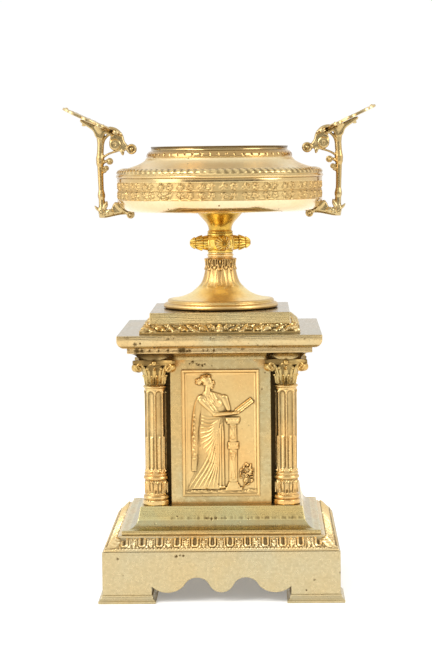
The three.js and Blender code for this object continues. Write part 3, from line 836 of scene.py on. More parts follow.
def base_box_shell(half, top, wall, lid, opening):
    """The hollow box: four aprons, four solid feet and the lid in one closed surface."""
    inner = half - wall
    stations = [(-half + 0.6, -opening, -opening, 0), (-opening - 0.3, -opening, -opening, 0)]
    stations.append((-opening, -opening, -inner, 0))
    xs = np.concatenate([[-opening], np.linspace(-opening, opening, APRON_STATIONS)[1:-1], [opening]])
    stations += [(x, x, -inner, h) for x, h in zip(xs, apron_height(xs, opening))]
    stations.append((opening, opening, -inner, 0))
    stations += [(opening + 0.3, opening, -opening, 0), (half - 0.6, opening, -opening, 0)]
    edge = 0.5
    rows, tones = [], []
    ceiling, soffit = top - lid, 0.35
    for depth, lift, inside in (
        (0, ceiling, 1), (0, None, 1), (soffit, None, 0), (0, None, 0), (0, top - edge, 0), (edge, top, 0)
    ):
        ring = []
        for x, inner_x, inner_y, bottom in stations:
            level = bottom if lift is None else lift
            if inside:
                ring.append((inner_x, inner_y, level))
            else:
                raise_by = soffit if lift is None and depth == 0 else 0
                ring.append((np.clip(x, -half + depth, half - depth), -half + depth, level + raise_by))
        rows.append(ring)
        # The inner faces of the aprons and feet get painted shade
        tones.append([-0.45 if inside else 0.0] * len(ring))
    side = np.array(rows)
    turns = [side @ np.array(turn_z(k * math.pi / 2)).T for k in range(4)]
    return ring_shell(np.concatenate(turns, 1), np.concatenate([np.array(tones)] * 4, 1))


class BaseBox(PieceOperator, bpy.types.Operator):
    """Hollow box with scalloped aprons on four flared feet"""

    bl_idname = "centerpiece.base_box"
    bl_label = "Base box"

    def execute(self, context):
        _, high = node_box("base_box")
        flare, opening, wall, lid = 3.4, 56.0, 5.0, 4.0
        half = high[0] - flare
        block = (half - opening) / 2
        place = (half + opening) / 2
        shells = [base_box_shell(half, high[2], wall, lid, opening)]
        shells += [foot_skirt(x, y, block) for x in (-place, place) for y in (-place, place)]
        assemble("base_box_polished", shells, "pale base", ["base_box"])
        return {"FINISHED"}


def egg_row(period, top):
    """Carving rule: tongues in shells, darts between them, leaf tips below, a leaf at each corner."""

    def carve(along, up, edge, side):
        place = along / period - 0.5
        x = (place - np.round(place)) * period
        y = up - 5.3
        away = np.hypot(x, np.minimum(y, 0))
        upper_rim, corner_leaf = top - 2.6, 7.6
        low_part = soft_step(upper_rim - up, 0, 0.8)
        egg = bead(away - 2.1, 1.0, 1.6)
        shell = bead(away - 4.3, 0.65, 1.1) * (up < top - 3.4)
        gap = np.abs(x) - period / 2
        stem = bead(gap, 0.4, 1.1) * (up > 2.2)
        wings = [
            bead(np.abs(gap) - 0.42 * (up - low), 0.42, 1.0) * (up > low) * (up < low + 4.2)
            for low in (2.4, 4.6, 6.8)
        ]
        motif = highest(egg, shell, stem, *wings) * low_part * (up > 1.9)
        tips = (along / (period / 5)) % 1 - 0.5
        fringe = dome(tips * period / 5, up - 0.5, 1.2, 1.5, 0.8) * (up < 2.0)
        from_corner = edge - np.abs(along)
        corner = leaf(from_corner, up - 0.8, 15.0, 11.6, 2.0, 4)
        clear = soft_step(from_corner, 6.2, corner_leaf)
        ground = 0.9 * soft_step(up, 0.9, 1.5) * soft_step(top - up, 2.2, 3.0)
        height = np.maximum(np.maximum(motif, fringe) * clear, corner * (from_corner < corner_leaf)) - ground
        # Painted shade in each egg's sunken centre and a painted shadow along the foot of the row; the smooth
        # upper rim is a little darker
        painted_core_shade = np.where((away < 1.5) & (up > 3.4) & (from_corner > corner_leaf), -0.45, 0)
        tone = np.where(up > upper_rim, -0.22, 1.0 * height + painted_core_shade - 0.05 - 0.75 * (up < 2.1))
        return height, tone

    return carve


class EggAndDart(PieceOperator, bpy.types.Operator):
    """Sloping moulding of eggs and darts, with a leaf at each corner"""

    bl_idname = "centerpiece.egg_and_dart"
    bl_label = "Egg-and-dart moulding"

    def execute(self, context):
        plinth, _ = centerpiece(context)
        low, high = node_box("egg_and_dart_moulding")
        step = plinth.carving_step / MM
        foot, crown = (high[0] - 0.3, low[2] + 1.4), (82.5, high[2])
        slope = rounded([foot, (high[0] - 4.0, 46.0), (high[0] - 7.9, 49.6), crown], 2.5)
        run = float(np.sum(np.linalg.norm(np.diff(resampled(slope, 0.4), axis=0), axis=1)))
        spans = [
            ([(high[0] - 2, low[2]), (high[0] - 0.2, low[2]), (high[0], low[2] + 0.2), foot], None),
            (slope, egg_row(plinth.egg_period / MM, run)),
        ]
        per_side = int(2 * high[0] / step)
        shell = squared(spans, 0.3, per_side, step)
        assemble("egg_and_dart_carved", [shell], "warm moulding", ["egg_and_dart_moulding"])
        return {"FINISHED"}


def ragged_darkening(start, stop, depth, patchy):
    """Carving rule that only darkens: a ragged dark line on part of the front, fainter on the other sides."""

    def carve(along, up, edge, side):
        waves = (
            np.sin(0.9 * along + 2 * side) + np.sin(2.3 * along + 1.1) + 0.7 * np.sin(5.1 * along)
            + 0.5 * np.sin(3 * up)
        )
        here = soft_step(along, start, start + 8) * soft_step(stop - along, 0, 8) if side == 0 else 0.5
        fade = np.sin(math.pi * np.clip(0.12 + 0.8 * up / up.max(), 0, 1))
        tone = -depth * here * fade * np.clip(0.55 + patchy * waves, 0, 1.4)
        return 0 * tone, tone

    return carve


def cavetto_patina_and_shade(along, up, edge, side):
    """Carving rule that only darkens: brown patina and painted shade under the slab all along, almost black
    towards the left of the front.
    """
    waves = np.sin(0.31 * along + side) + np.sin(0.83 * along + 1.1) + 0.5 * np.sin(2.1 * along + 2 * up)
    left = soft_step(-along, 18, 52) if side == 0 else 0.4
    tone = -(0.30 + 0.85 * left) * np.clip(0.9 + 0.18 * waves, 0.3, 1.3) * np.ones_like(up)
    return 0 * tone, tone


class PlinthStep(PieceOperator, bpy.types.Operator):
    """Plain fillet, hollow and sloping band under the columns"""

    bl_idname = "centerpiece.plinth_step"
    bl_label = "Plinth step"

    def execute(self, context):
        plinth, _ = centerpiece(context)
        low, high = node_box("plinth_step")
        fillet = [(high[0] - 0.3, low[2]), (high[0], low[2] + 0.3), (high[0], 55.4), (high[0] - 0.4, 55.9)]
        hollow = [(79.6, 56.0)] + arc((79.6, 56.0), (68.2, 62.2), 2.6, 14)
        seam = [(68.2, 62.2), (67.9, 62.8), (67.3, 65.2)]
        band = [(67.3, 65.2), (66.0, high[2] - 0.5), (65.6, high[2])]
        spans = [
            (fillet, None), (hollow, ragged_darkening(-90, 90, 0.3, 1.1)),
            (seam, ragged_darkening(-46, 70, 1.3, 0.35)), (band, None)
        ]
        shell = squared(spans, plinth.arris / MM, *STEP_MESH)
        assemble("plinth_step_polished", [shell], "pale step", ["plinth_step"])
        return {"FINISHED"}


def cross_side(arm, half, panel, sunk, bevel, corner):
    """Stations along one face of the cross-shaped die: place, distance out, and how far a panel row sinks."""
    c = corner
    return [
        (-arm, half - c, 0), (-arm + 0.3 * c, half - 0.3 * c, 0), (-arm + c, half, 0), (-panel, half, 0),
        (-panel + bevel, half, sunk), (panel - bevel, half, sunk), (panel, half, 0),
        (arm - c, half, 0), (arm - 0.3 * c, half - 0.3 * c, 0), (arm, half - c, 0), (arm, half - 1.6, 0),
        (arm, arm, 0),
        (half - 1.6, arm, 0),
    ]


def recess_shade(points, arm, half):
    """Painted shade in the re-entrant corners behind the columns."""
    x, y = np.abs(points[:, 0]), np.abs(points[:, 1])
    inner = (np.maximum(x, y) < half - 0.6) & (np.minimum(x, y) > arm - 0.02)
    return np.where(inner, -2.0, 0.0)


class Dado(PieceOperator, bpy.types.Operator):
    """Cross-shaped die with a sunk panel in the back and in each side"""

    bl_idname = "centerpiece.dado"
    bl_label = "Dado"

    def execute(self, context):
        low, high = node_box("dado")
        plaque_low, plaque_high = node_box("relief_plaque")
        arm, panel, bevel, sunk = 41.0, plaque_high[0], 0.5, 1.2
        levels = [(low[2], 0), (plaque_low[2], 0), (plaque_low[2] + bevel, 1)]
        levels += [(plaque_high[2] - bevel, 1), (plaque_high[2], 0), (high[2], 0)]
        rows = []
        for level, inside in levels:
            ring = []
            for side in range(4):
                depth = sunk if side else 0
                face = cross_side(arm, high[0], panel, depth, bevel, 0.5)
                flat = [(x, -(y - drop * inside), level) for x, y, drop in face]
                ring += (np.array(flat) @ np.array(turn_z(side * math.pi / 2)).T).tolist()
            rows.append(ring)
        die = ring_shell(np.array(rows))
        die = Shell(die.points, die.faces, recess_shade(die.points, arm, high[0]))
        assemble("dado_polished", [die], "pale dado", ["dado"])
        return {"FINISHED"}


# The relief plaque: brushes over X and height above the plaque's lower edge, both in millimetres


def limb(x, v, start, end, r0, r1, height):
    """A tapered round limb from one point to another."""
    (x0, v0), (x1, v1) = start, end
    length_2 = (x1 - x0) ** 2 + (v1 - v0) ** 2
    t = np.clip(((x - x0) * (x1 - x0) + (v - v0) * (v1 - v0)) / length_2, 0, 1)
    away = np.hypot(x - x0 - t * (x1 - x0), v - v0 - t * (v1 - v0))
    return bead(away, r0 + (r1 - r0) * t, height)


def mass(x, v, rows, height, round_power=2.4):
    """A body given by rows of height, left edge and right edge."""
    rows = np.array(rows, float)
    left, right = np.interp(v, rows[:, 0], rows[:, 1]), np.interp(v, rows[:, 0], rows[:, 2])
    middle, half = (left + right) / 2, np.maximum((right - left) / 2, 0.01)
    inside = (v >= rows[0, 0]) & (v <= rows[-1, 0])
    body = np.clip(1 - np.abs((x - middle) / half) ** round_power, 0, 1) ** 0.5
    return np.where(inside, height * body, 0)


def fold(x, v, path, width, height):
    """A ridge of cloth along a curve, thin at its ends."""
    line = smooth_curve(path, 5)
    best = np.full(x.shape, 1e9)
    along = np.zeros(x.shape)
    for k, ((x0, v0), (x1, v1)) in enumerate(zip(line[:-1], line[1:])):
        length_2 = max((x1 - x0) ** 2 + (v1 - v0) ** 2, 1e-9)
        t = np.clip(((x - x0) * (x1 - x0) + (v - v0) * (v1 - v0)) / length_2, 0, 1)
        away = np.hypot(x - x0 - t * (x1 - x0), v - v0 - t * (v1 - v0))
        nearer = away < best
        best = np.where(nearer, away, best)
        along = np.where(nearer, (k + t) / (len(line) - 1), along)
    taper = np.sqrt(np.clip(np.sin(math.pi * np.clip(0.12 + 0.8 * along, 0, 1)), 0, 1))
    return height * np.exp(-((best / (0.5 * width * taper + 1e-6)) ** 2)) * taper


def domes(x, v, rows):
    """The highest of several domes, each given by its middle, its reach each way and its height."""
    return np.maximum.reduce([dome(x - mid_x, v - mid_v, *size) for mid_x, mid_v, *size in rows])


def limbs(x, v, rows):
    return np.maximum.reduce([limb(x, v, *row) for row in rows])


def folds(x, v, paths, width, height):
    return np.maximum.reduce([fold(x, v, path, width, height) for path in paths])


# Outlines as rows of height, left edge and right edge
CLOAK = [
    (21, -24.2, -19.6), (35, -24.0, -19.0), (52, -23.6, -18.4), (66, -22.6, -17.0), (77, -21.0, -14.8),
    (82, -18.6, -13.6),
]
SKIRT = [
    (6.2, -27.4, 3.0), (12, -25.0, 3.2), (19, -21.8, 3.2), (27, -18.9, 3.0), (38, -17.4, 2.9),
    (50, -16.9, 3.0), (58, -16.6, 2.6), (66, -16.2, 1.6), (74, -16.4, 4.6), (80, -17.4, 4.2),
    (84, -14.6, 0.6), (86.4, -13.8, -7.2),
]
PILLAR_SHAFT = [(11.6, 6.1, 13.5), (39.0, 6.5, 13.3), (60.2, 6.8, 13.0)]
PILLAR_PANELS = [[(14.0, 8.2, 11.4), (37.0, 8.4, 11.2)], [(47.0, 8.4, 11.2), (58.0, 8.5, 11.1)]]
PILLAR_COLLAR = [(39.2, 5.5, 14.6), (44.8, 5.5, 14.6)]
PILLAR_CAPITAL = [(59.6, 5.0, 14.8), (61.2, 5.0, 14.8), (61.4, 3.8, 15.6), (65.0, 3.5, 15.9)]
PILLAR_BASE = [
    (4.8, 3.0, 17.6), (7.6, 3.2, 17.4), (7.7, 4.6, 15.4), (9.6, 4.8, 15.0), (9.7, 5.4, 14.2),
    (11.8, 5.8, 13.8),
]

# Domes as middle, reach each way and height
HIP_WAIST_AND_BOSOM = [
    (-9.5, 52, 8.2, 13.0, 1.9), (-6.4, 70, 8.2, 12.0, 1.75), (-2.2, 76.6, 4.8, 4.6, 2.2),
    (-9.0, 77.6, 4.6, 4.8, 2.05),
]
SHOULDER_AND_HAND = [(-15.6, 80.4, 3.6, 3.2, 2.0), (11.4, 68.4, 2.6, 1.5, 2.6)]
HEAD_LIPS_AND_CHIN = [
    (-11.4, 95.0, 4.5, 4.6, 2.4), (-9.0, 92.4, 3.6, 3.9, 2.3), (-6.1, 90.6, 0.9, 0.8, 1.7),
    (-7.0, 89.0, 1.3, 1.1, 1.8),
]
FEET = [(-12.0, 7.6, 3.2, 1.5, 1.9), (0.6, 7.6, 3.0, 1.6, 2.0)]

# Limbs as start, end, radius at each and height
LEGS = [((-10.5, 50), (-7.0, 30), 6.4, 5.2, 1.95), ((-7.0, 30), (-12.6, 9), 4.8, 3.2, 1.7)]
SLEEVE_ARM_AND_FINGERS = [
    ((3.0, 80.4), (6.4, 71.8), 3.2, 2.0, 1.8), ((-15.6, 78.8), (-5.0, 68.0), 2.8, 2.3, 2.5),
    ((-4.6, 67.4), (9.4, 68.2), 2.5, 1.6, 2.9), ((12.0, 69.2), (15.4, 69.6), 1.0, 0.6, 2.4),
]
NECK_AND_NOSE = [((-10.6, 83.6), (-10.2, 90.0), 2.7, 2.3, 1.9), ((-5.9, 94.6), (-5.1, 92.6), 0.8, 0.7, 1.9)]

# Folds as paths; those over the lap run from the girdle's knot to these ends
CLOAK_EDGE = [(-16.2, 82), (-20.2, 77), (-22.6, 62), (-23.4, 44), (-22.8, 22)]
KNOT = (-0.9, 63.2)
LAP_FOLD_ENDS = [
    (-15.6, 60.4), (-16.2, 56.4), (-16.2, 52.2), (-16.0, 48.0), (-15.4, 43.8), (-14.2, 39.8), (-12.4, 36.4),
    (-10.0, 33.6),
]
SKIRT_FOLDS = [
    ((-3.6, 55), (-11.4, 30), (-26.2, 7.4)), ((-3.2, 52), (-9.4, 28), (-22.4, 7.2)),
    ((-2.6, 50), (-7.2, 27), (-18.4, 7.4)), ((-2.2, 49), (-5.6, 26), (-14.4, 7.8)),
    ((-1.9, 50), (-4.4, 26), (-10.6, 7.8)), ((-1.6, 53), (-3.2, 27), (-6.8, 7.6)),
    ((-1.2, 56), (-1.9, 30), (-3.4, 7.6)), ((-0.2, 59), (-0.3, 32), (-0.6, 7.6)),
    ((1.2, 60), (1.5, 34), (1.8, 7.6)), ((2.2, 57), (2.6, 30), (2.8, 7.6)),
]
BODICE_FOLDS = [
    [(-12.6, 84.6), (-7.4, 76.4), (-3.0, 70.0)], [(-10.6, 85.0), (-6.6, 78.6), (-3.6, 74.4)],
    [(-8.0, 85.0), (-6.0, 80.4), (-2.0, 76.6)], [(-5.6, 84.4), (-3.6, 80.0), (1.0, 75.4)],
    [(-1.2, 83.6), (2.2, 79.4), (5.2, 73.6)], [(0.6, 83.0), (4.0, 78.0), (6.6, 71.0)],
    [(-13.6, 82.0), (-9.4, 74.6), (-5.0, 69.2)], [(-9.0, 72.6), (-6.0, 70.0), (-1.0, 69.6)],
]
GIRDLE_FOLDS = [
    [(-15.8, 66.0), (-10.0, 64.8), (-1.0, 64.8)], [(-16.0, 63.4), (-9.0, 62.0), (-1.4, 63.4)],
]

# Curls of the bun as middle and size
BUN_CURLS = [
    (-18.9, 95.4, 1.5), (-17.3, 96.3, 1.3), (-19.0, 93.4, 1.4), (-17.2, 92.6, 1.5), (-15.9, 94.2, 1.5)
]


def dressed_body(x, v):
    """The cloak, the skirt and the body, with folds on all that stands out far enough."""
    tassels = [(0.5 * math.sin(2.2 * k) - 21.6, 31 + 3.6 * k, 1.5, 1.5, 1.75) for k in range(11)]
    body = highest(
        mass(x, v, CLOAK, 1.2), domes(x, v, tassels), fold(x, v, CLOAK_EDGE, 1.2, 1.7),
        mass(x, v, SKIRT, 1.5, 3.2),
        domes(x, v, HIP_WAIST_AND_BOSOM), limbs(x, v, LEGS),
    )
    lap_folds = []
    for k, end in enumerate(LAP_FOLD_ENDS):
        sag = 2.6 + 0.35 * k
        lap_folds.append([KNOT, ((KNOT[0] + end[0]) / 2 + 0.6, (KNOT[1] + end[1]) / 2 - sag), end])
    cloth = highest(
        folds(x, v, lap_folds, 1.25, 0.75), folds(x, v, SKIRT_FOLDS, 1.3, 0.8),
        folds(x, v, BODICE_FOLDS, 1.5, 0.8), folds(x, v, GIRDLE_FOLDS, 1.3, 0.6),
    )
    return np.where(body > 0.6, body + cloth - 0.18, body)


def book(x, v):
    """The open book, seen from its side, that leans up from the hand."""
    (corner_x, corner_v), (across, rise), long, half = (12.6, 69.2), (0.794, 0.608), 16.6, 2.2
    along = (x - corner_x) * across + (v - corner_v) * rise
    aside = np.abs((v - corner_v) * across - (x - corner_x) * rise)
    leaves = 1.3 + 0.8 * np.exp(-(((aside - 1.7) / 0.45) ** 2)) + 0.5 * np.exp(-((aside / 0.35) ** 2))
    return np.where((along > 0) & (along < long) & (aside < half), leaves, 0)


def hair(x, v):
    """A cap of hair with curls over the brow, locks that run back, and a bun."""
    curls = [(-12.6, 96.0, 4.6, 4.3, 2.45), (-17.2, 94.4, 2.9, 2.8, 2.1)]
    curls += [(bun_x, bun_v, size, 0.8 * size, 2.55) for bun_x, bun_v, size in BUN_CURLS]
    for k in range(5):
        turn = math.radians(62 + 24 * k)
        curls.append((-11.2 + 4.2 * math.cos(turn), 95.4 + 4.1 * math.sin(turn), 1.3, 1.0, 2.75))
    locks = []
    for k in range(6):
        front, back = (-7.4 - 0.9 * k, 98.8 - 0.35 * k), (-16.6, 96.4 - 0.9 * k)
        crown = (-12.2 - 0.3 * k, 99.4 - 1.25 * k)
        locks.append([front, crown, back])
    return np.maximum(domes(x, v, curls), folds(x, v, locks, 0.9, 2.95))


def pillar(x, v):
    """The slender reading pillar with sunk panels, crossed bars, a studded collar and a capital."""
    shaft = mass(x, v, PILLAR_SHAFT, 1.6)
    panels = sum(mass(x, v, rows, 0.5, 6.0) for rows in PILLAR_PANELS)
    shaft = shaft + np.where(shaft > 0, panels * 0.8, 0)
    for middle, reach in ((25.5, 10.5), (52.6, 5.2)):
        bars = bead(np.abs(x - 9.8) - 1.7 * np.abs(v - middle) / reach, 0.55, 2.3)
        shaft = np.maximum(shaft, bars * (np.abs(v - middle) < reach))
    studs = [(7.0 + 2.1 * k, 42.0, 0.9, 1.7, 2.4) for k in range(4)]
    studs += [(5.6 + 2.7 * k, 62.6, 1.1, 1.3, 2.5) for k in range(4)]
    return highest(
        shaft, domes(x, v, studs), mass(x, v, PILLAR_COLLAR, 1.9, 6.0), mass(x, v, PILLAR_CAPITAL, 2.0, 8.0),
        mass(x, v, PILLAR_BASE, 1.9, 8.0),
    )


def bush(x, v):
    """A stem with scattered leaflets."""
    bush_leaves = fold(x, v, [(17.8, 6.8), (19.6, 12.0), (20.6, 20.0)], 0.9, 1.2)
    leaflets = np.random.default_rng(11).uniform([0, 0, -1.2, 0.9], [TAU, 1, 1.2, 1.6], (74, 4))
    for turn, share, lean, size in leaflets:
        out = math.sqrt(share)
        leaf_x, leaf_v = 20.9 + 5.6 * out * math.cos(turn), 18.2 + 8.8 * out * math.sin(turn)
        lean += 0.5 * math.pi - 0.8 * math.cos(turn)
        along = (x - leaf_x) * math.cos(lean) + (v - leaf_v) * math.sin(lean)
        across = -(x - leaf_x) * math.sin(lean) + (v - leaf_v) * math.cos(lean)
        bush_leaves = np.maximum(bush_leaves, dome(along, across, size, 0.5 * size, 0.7 + 0.6 * size))
    return bush_leaves


def figure(x, v):
    """A standing draped woman who reads at a slender pillar, in low relief."""
    woman = highest(
        dressed_body(x, v), limbs(x, v, SLEEVE_ARM_AND_FINGERS), domes(x, v, SHOULDER_AND_HAND), book(x, v),
        limbs(x, v, NECK_AND_NOSE), domes(x, v, HEAD_LIPS_AND_CHIN),
    )
    brow = 0.45 * np.exp(-(((x + 7.0) / 0.8) ** 2 + ((v - 94.2) / 0.5) ** 2))
    ridge = 5.9 + 0.6 * np.sin(0.29 * x) + 0.35 * np.sin(0.83 * x + 1.0) + 0.2 * np.sin(2.3 * x)
    ground = 1.0 * soft_step(ridge - v, 0, 1.6) + 0.18 * np.sin(0.9 * x + v) * np.sin(1.3 * v) * (v < ridge)
    return highest(woman - brow, hair(x, v), domes(x, v, FEET), pillar(x, v), bush(x, v), ground)


def tablet(xs, zs, front, back):
    """A standing slab whose front is a grid of depths and whose back is flat."""
    nz, nx = len(zs), len(xs)
    gx, gz = np.meshgrid(xs, zs)
    face = np.stack([gx, front, gz], -1).reshape(-1, 3)
    index = np.arange(nx * nz).reshape(nz, nx)
    quads = np.stack(
        [index[:-1, :-1], index[:-1, 1:], index[1:, 1:], index[1:, :-1]], -1
    ).reshape(-1, 4).tolist()
    border = np.concatenate([index[0, :-1], index[:-1, -1], index[-1, :0:-1], index[:0:-1, 0]])
    rear = face[border].copy()
    rear[:, 1] = back
    start, count = nx * nz, len(border)
    rim = [
        [int(border[k]), start + k, start + (k + 1) % count, int(border[(k + 1) % count])]
        for k in range(count)
    ]
    points = np.vstack([face, rear])
    return points, outward(points, quads + rim + [[start + k for k in range(count)]])


class ReliefPlaque(PieceOperator, bpy.types.Operator):
    """Framed tablet with a woman reading at a pillar in low relief"""

    bl_idname = "centerpiece.relief_plaque"
    bl_label = "Relief plaque"

    def execute(self, context):
        plinth, _ = centerpiece(context)
        low, high = node_box("relief_plaque")
        step = plinth.plaque_step / MM
        half, tall, die = high[0], high[2] - low[2], high[1]
        frame_high, field = 3.0, 1.0
        xs = np.arange(-half, half + step / 2, 2 * half / round(2 * half / step))
        vs = np.arange(0, tall + step / 2, tall / round(tall / step))
        x, v = np.meshgrid(xs, vs)
        inset = np.minimum.reduce([half - np.abs(x), v, tall - v])
        frame_rows = [
            (0, frame_high - 0.5), (0.35, frame_high), (1.3, frame_high - 0.1), (3.2, field + 0.5),
            (3.6, field + 0.5), (4.3, field), (4.6, field),
        ]
        bed = np.interp(inset, *zip(*frame_rows))
        bed += np.interp(inset, [2.4, 2.7, 3.0], [0, -0.35, 0])
        carved = figure(x, v) * plinth.figure_relief / MM / 2.3
        relief = np.where(inset > 2.0, carved, 0)
        stands_out = relief > 0.02
        height = np.where(stands_out, np.maximum(bed, field + relief), bed)
        height = np.minimum(height, die - low[1])
        points, faces = tablet(xs, low[2] + vs, die - height, die)
        mask = stands_out.astype(float)
        # A painted shadow darkens the ground round the figure, and the figure's flanks get painted shade
        painted_shadow_halo = blurred(blurred(mask, 4), 3) * (1 - mask)
        base = np.where(mask > 0, 0.5 * (relief - 1.7), -0.65 * painted_shadow_halo)
        tone = np.where(inset > 1.6, worn_and_shaded(1.5 * height, base, step, step, 3), 0.3)
        wear_and_painted_shade = np.concatenate([tone.reshape(-1), np.zeros(len(points) - tone.size)])
        assemble("relief_plaque_carved", [Shell(points, faces, wear_and_painted_shade)], "warm plaque", ["relief_plaque"])
        return {"FINISHED"}


# Columns


def column_carving(flutes, round_way):
    """Carving rules of the column from its base drum up to its bell."""

    def drum(turn, up):
        x = repeated(turn, flutes, round_way)
        arch = np.hypot(x, np.maximum(up - 7.4, 0))
        oval = np.maximum(bead(arch - 2.4, 0.6, 0.9), dome(x, up - 5.6, 1.3, 4.2, 0.8))
        gap = round_way / flutes / 2 - np.abs(x)
        between = dome(gap, up - 6.0, 0.75, 4.6, 0.8)
        height = np.maximum(oval, between) - 0.6
        return height, 1.3 * height

    def shaft(turn, up):
        x = repeated(turn, flutes, round_way)
        top, half = up.max() - 0.8, 2.75
        end = np.where(up > top / 2, up - (top - half), half + 0.6 - up)
        away = np.hypot(x, np.maximum(end, 0))
        flute = 1.35 * np.sqrt(np.clip(1 - (away / half) ** 2, 0, 1))
        cable = np.where(up < 29, bead(x, 1.7, 0.95) * soft_step(29 - up, 0, 1.2), 0)
        gap = round_way / flutes / 2 - np.abs(x)
        arrow = bead(np.abs(gap) - 0.5 * (top - up), 0.45, 0.5) * (up > top - 4.5) * (up < top)
        tone = np.where(away < half, -0.35 - 0.5 * soft_step(away, half - 1.2, half - 0.2), 0.55)
        return np.maximum(-flute + cable, arrow - 1.4 * (away < half)), tone + cable

    def bell(turn, up):
        low_x = repeated(turn, 12, TAU * 9.0)
        tall_x = repeated(turn + 0.5 / 12, 12, TAU * 10.2)
        low_leaf = leaf(low_x, up, 4.2, 8.2, 1.1, 1) + 0.8 * dome(low_x, up - 7.4, 1.5, 1.1, 1)
        tall_leaf = leaf(tall_x, up - 3.0, 4.4, 12.6, 1.2, 2) + 1.0 * dome(tall_x, up - 14.2, 1.9, 1.4, 1)
        rib = 0.35 * np.cos(TAU * turn * 48) * soft_step(8.5 - up, 0, 3)
        height = np.maximum(low_leaf, tall_leaf) + rib - 0.6
        return height, 1.0 * height - 0.15 - 0.45 * soft_step(up, 10, 15)

    return drum, shaft, bell


def column_shell(low, high):
    """The turned and carved stem, from the plinth to under the abacus, about its own axis."""
    drum, shaft, bell = column_carving(8, TAU * 8.8)
    foot = [
        (10.2, low), (10.8, low + 0.2), (11.0, low + 1.0), (11.0, 76.9), (10.6, 77.5), (9.7, 77.9),
        (9.8, 78.2), (10.5, 78.7), (10.7, 79.8), (10.4, 81.0), (9.6, 81.6), (9.2, 82.0), (9.4, 82.6),
    ]
    rings = [
        (9.4, 93.8), (9.4, 94.2), (10.2, 94.8), (10.4, 95.8), (10.1, 96.8), (9.3, 97.4), (9.3, 97.8),
        (9.8, 98.2), (9.8, 99.3), (9.1, 99.9), (8.8, 100.4),
    ]
    astragal = [
        (8.8, 168.0), (8.8, 169.2), (9.4, 169.5), (9.8, 170.1), (9.8, 170.8), (9.3, 171.3), (8.6, 171.6)
    ]
    spans = [
        (rounded(foot, 0.4), None),
        ([(9.4, 82.6), (9.4, 93.8)], drum),
        (rounded(rings, 0.3), None),
        ([(8.8, 100.4), (8.8, 168.0)], shaft, [(0, 4.6), (26.5, 30), (61, 68)]),
        (rounded(astragal, 0.3), None),
        ([(8.6, 171.6)] + arc((8.6, 171.6), (12.8, 188.4), 1.3, 8), bell),
        ([(12.8, 188.4), (11.6, high - 3.2), (10.8, high - 1.2)], None),
    ]
    return turned(spans, *COLUMN_MESH)


def abacus_outline(reach, middle, corner):
    side = []
    for k in range(13):
        t = 2 * k / 12 - 1
        side.append((middle + (reach - middle) * t * t, (reach - corner) * t))
    return [tuple(np.array(turn_z(q * math.pi / 2))[:2, :2] @ p) for q in range(4) for p in side]


def volute(reach, top):
    """The scroll under a corner of the abacus, towards +X, and its stalk."""
    place = (reach * math.sqrt(2) - 5.6, 0, top - 5.9)
    disc = moved(scroll(3.8, 4.4, 1.6, 30, 11), np.diag([1.2, 1, 1]), place)
    path = smooth_curve([(9.0, top - 14.0), (11.4, top - 7.6), (15.4, top - 3.6), (19.0, top - 2.9)], 4)
    return disc, tube(path, np.linspace(0.8, 1.3, len(path)), 8, 1.5)


class Columns(PieceOperator, bpy.types.Operator):
    """Four fluted columns with leafy drums and scrolled capitals"""

    bl_idname = "centerpiece.columns"
    bl_label = "Columns"

    def execute(self, context):
        axis, reach, gap = 53.4, 17.2, 0.15
        for end, sy in (("front", -1), ("back", 1)):
            for side, sx in (("left", -1), ("right", 1)):
                name = f"column_{end}_{side}"
                low, high = node_box(name)
                die, arm = 56 + gap, 41 + gap
                stem = column_shell(low[2], high[2])
                plan = np.array(abacus_outline(reach, 11.6, 2.2))
                parts = [stem, toned(prism(plan, high[2] - 3.0, high[2], 0.5), -1.0)]
                ovolo = np.array(abacus_outline(reach - 2.2, 10.6, 2.0))
                parts.append(toned(prism(ovolo, high[2] - 4.4, high[2] - 2.8, 0.4), -1.3))
                inward = math.atan2(-sy, -sx)
                for quarter in range(4):
                    angle = inward + quarter * math.pi / 2
                    if quarter:
                        parts += [moved(part, turn_z(angle)) for part in volute(reach, high[2])]
                    face = angle + math.pi / 4
                    parts.append(moved(blob(12.2, 0, high[2] - 2.6, 1.6, 2.2, 2.2), turn_z(face)))
                kept = [cut_back(part, sx, sy, axis, die, arm) for part in parts]
                assemble(name + "_carved", kept, "warm column", [name])
        return {"FINISHED"}


def cut_back(shell, sx, sy, axis, die, arm):
    """A column's part in its place, pressed back where it would run into the die."""
    points = shell.points + np.array([sx * axis, sy * axis, 0])
    u, w = points[:, 0] * sx, points[:, 1] * sy
    inside = (u < arm) & (w < die) | (u < die) & (w < arm)
    to_die = np.where(u < arm, die - w, 1e9)
    to_side = np.where(w < arm, die - u, 1e9)
    push_w = inside & (to_die <= to_side)
    push_u = inside & ~push_w
    points[push_w, 1] = sy * die
    points[push_u, 0] = sx * die
    return Shell(points, shell.faces, shell.relief)


# The upper members


# Chips in the cornice, as X, the share of the way up and the radius
FILLET_CHIPS = [
    (-66.5, 0.5, 2.2), (-63, 0.6, 1.2), (-56.3, 0.5, 1.4), (-49, 0.45, 1.3), (-33.5, 0.5, 1.6),
    (-30.5, 0.55, 1.7),
    (-27.5, 0.4, 1.2), (-13, 0.5, 1.1), (-9.5, 0.5, 0.9), (-4.5, 0.45, 1.3),
]
FACE_CHIPS = [(-7.0, 0.5, 0.8), (-36.6, 0.5, 0.7)]


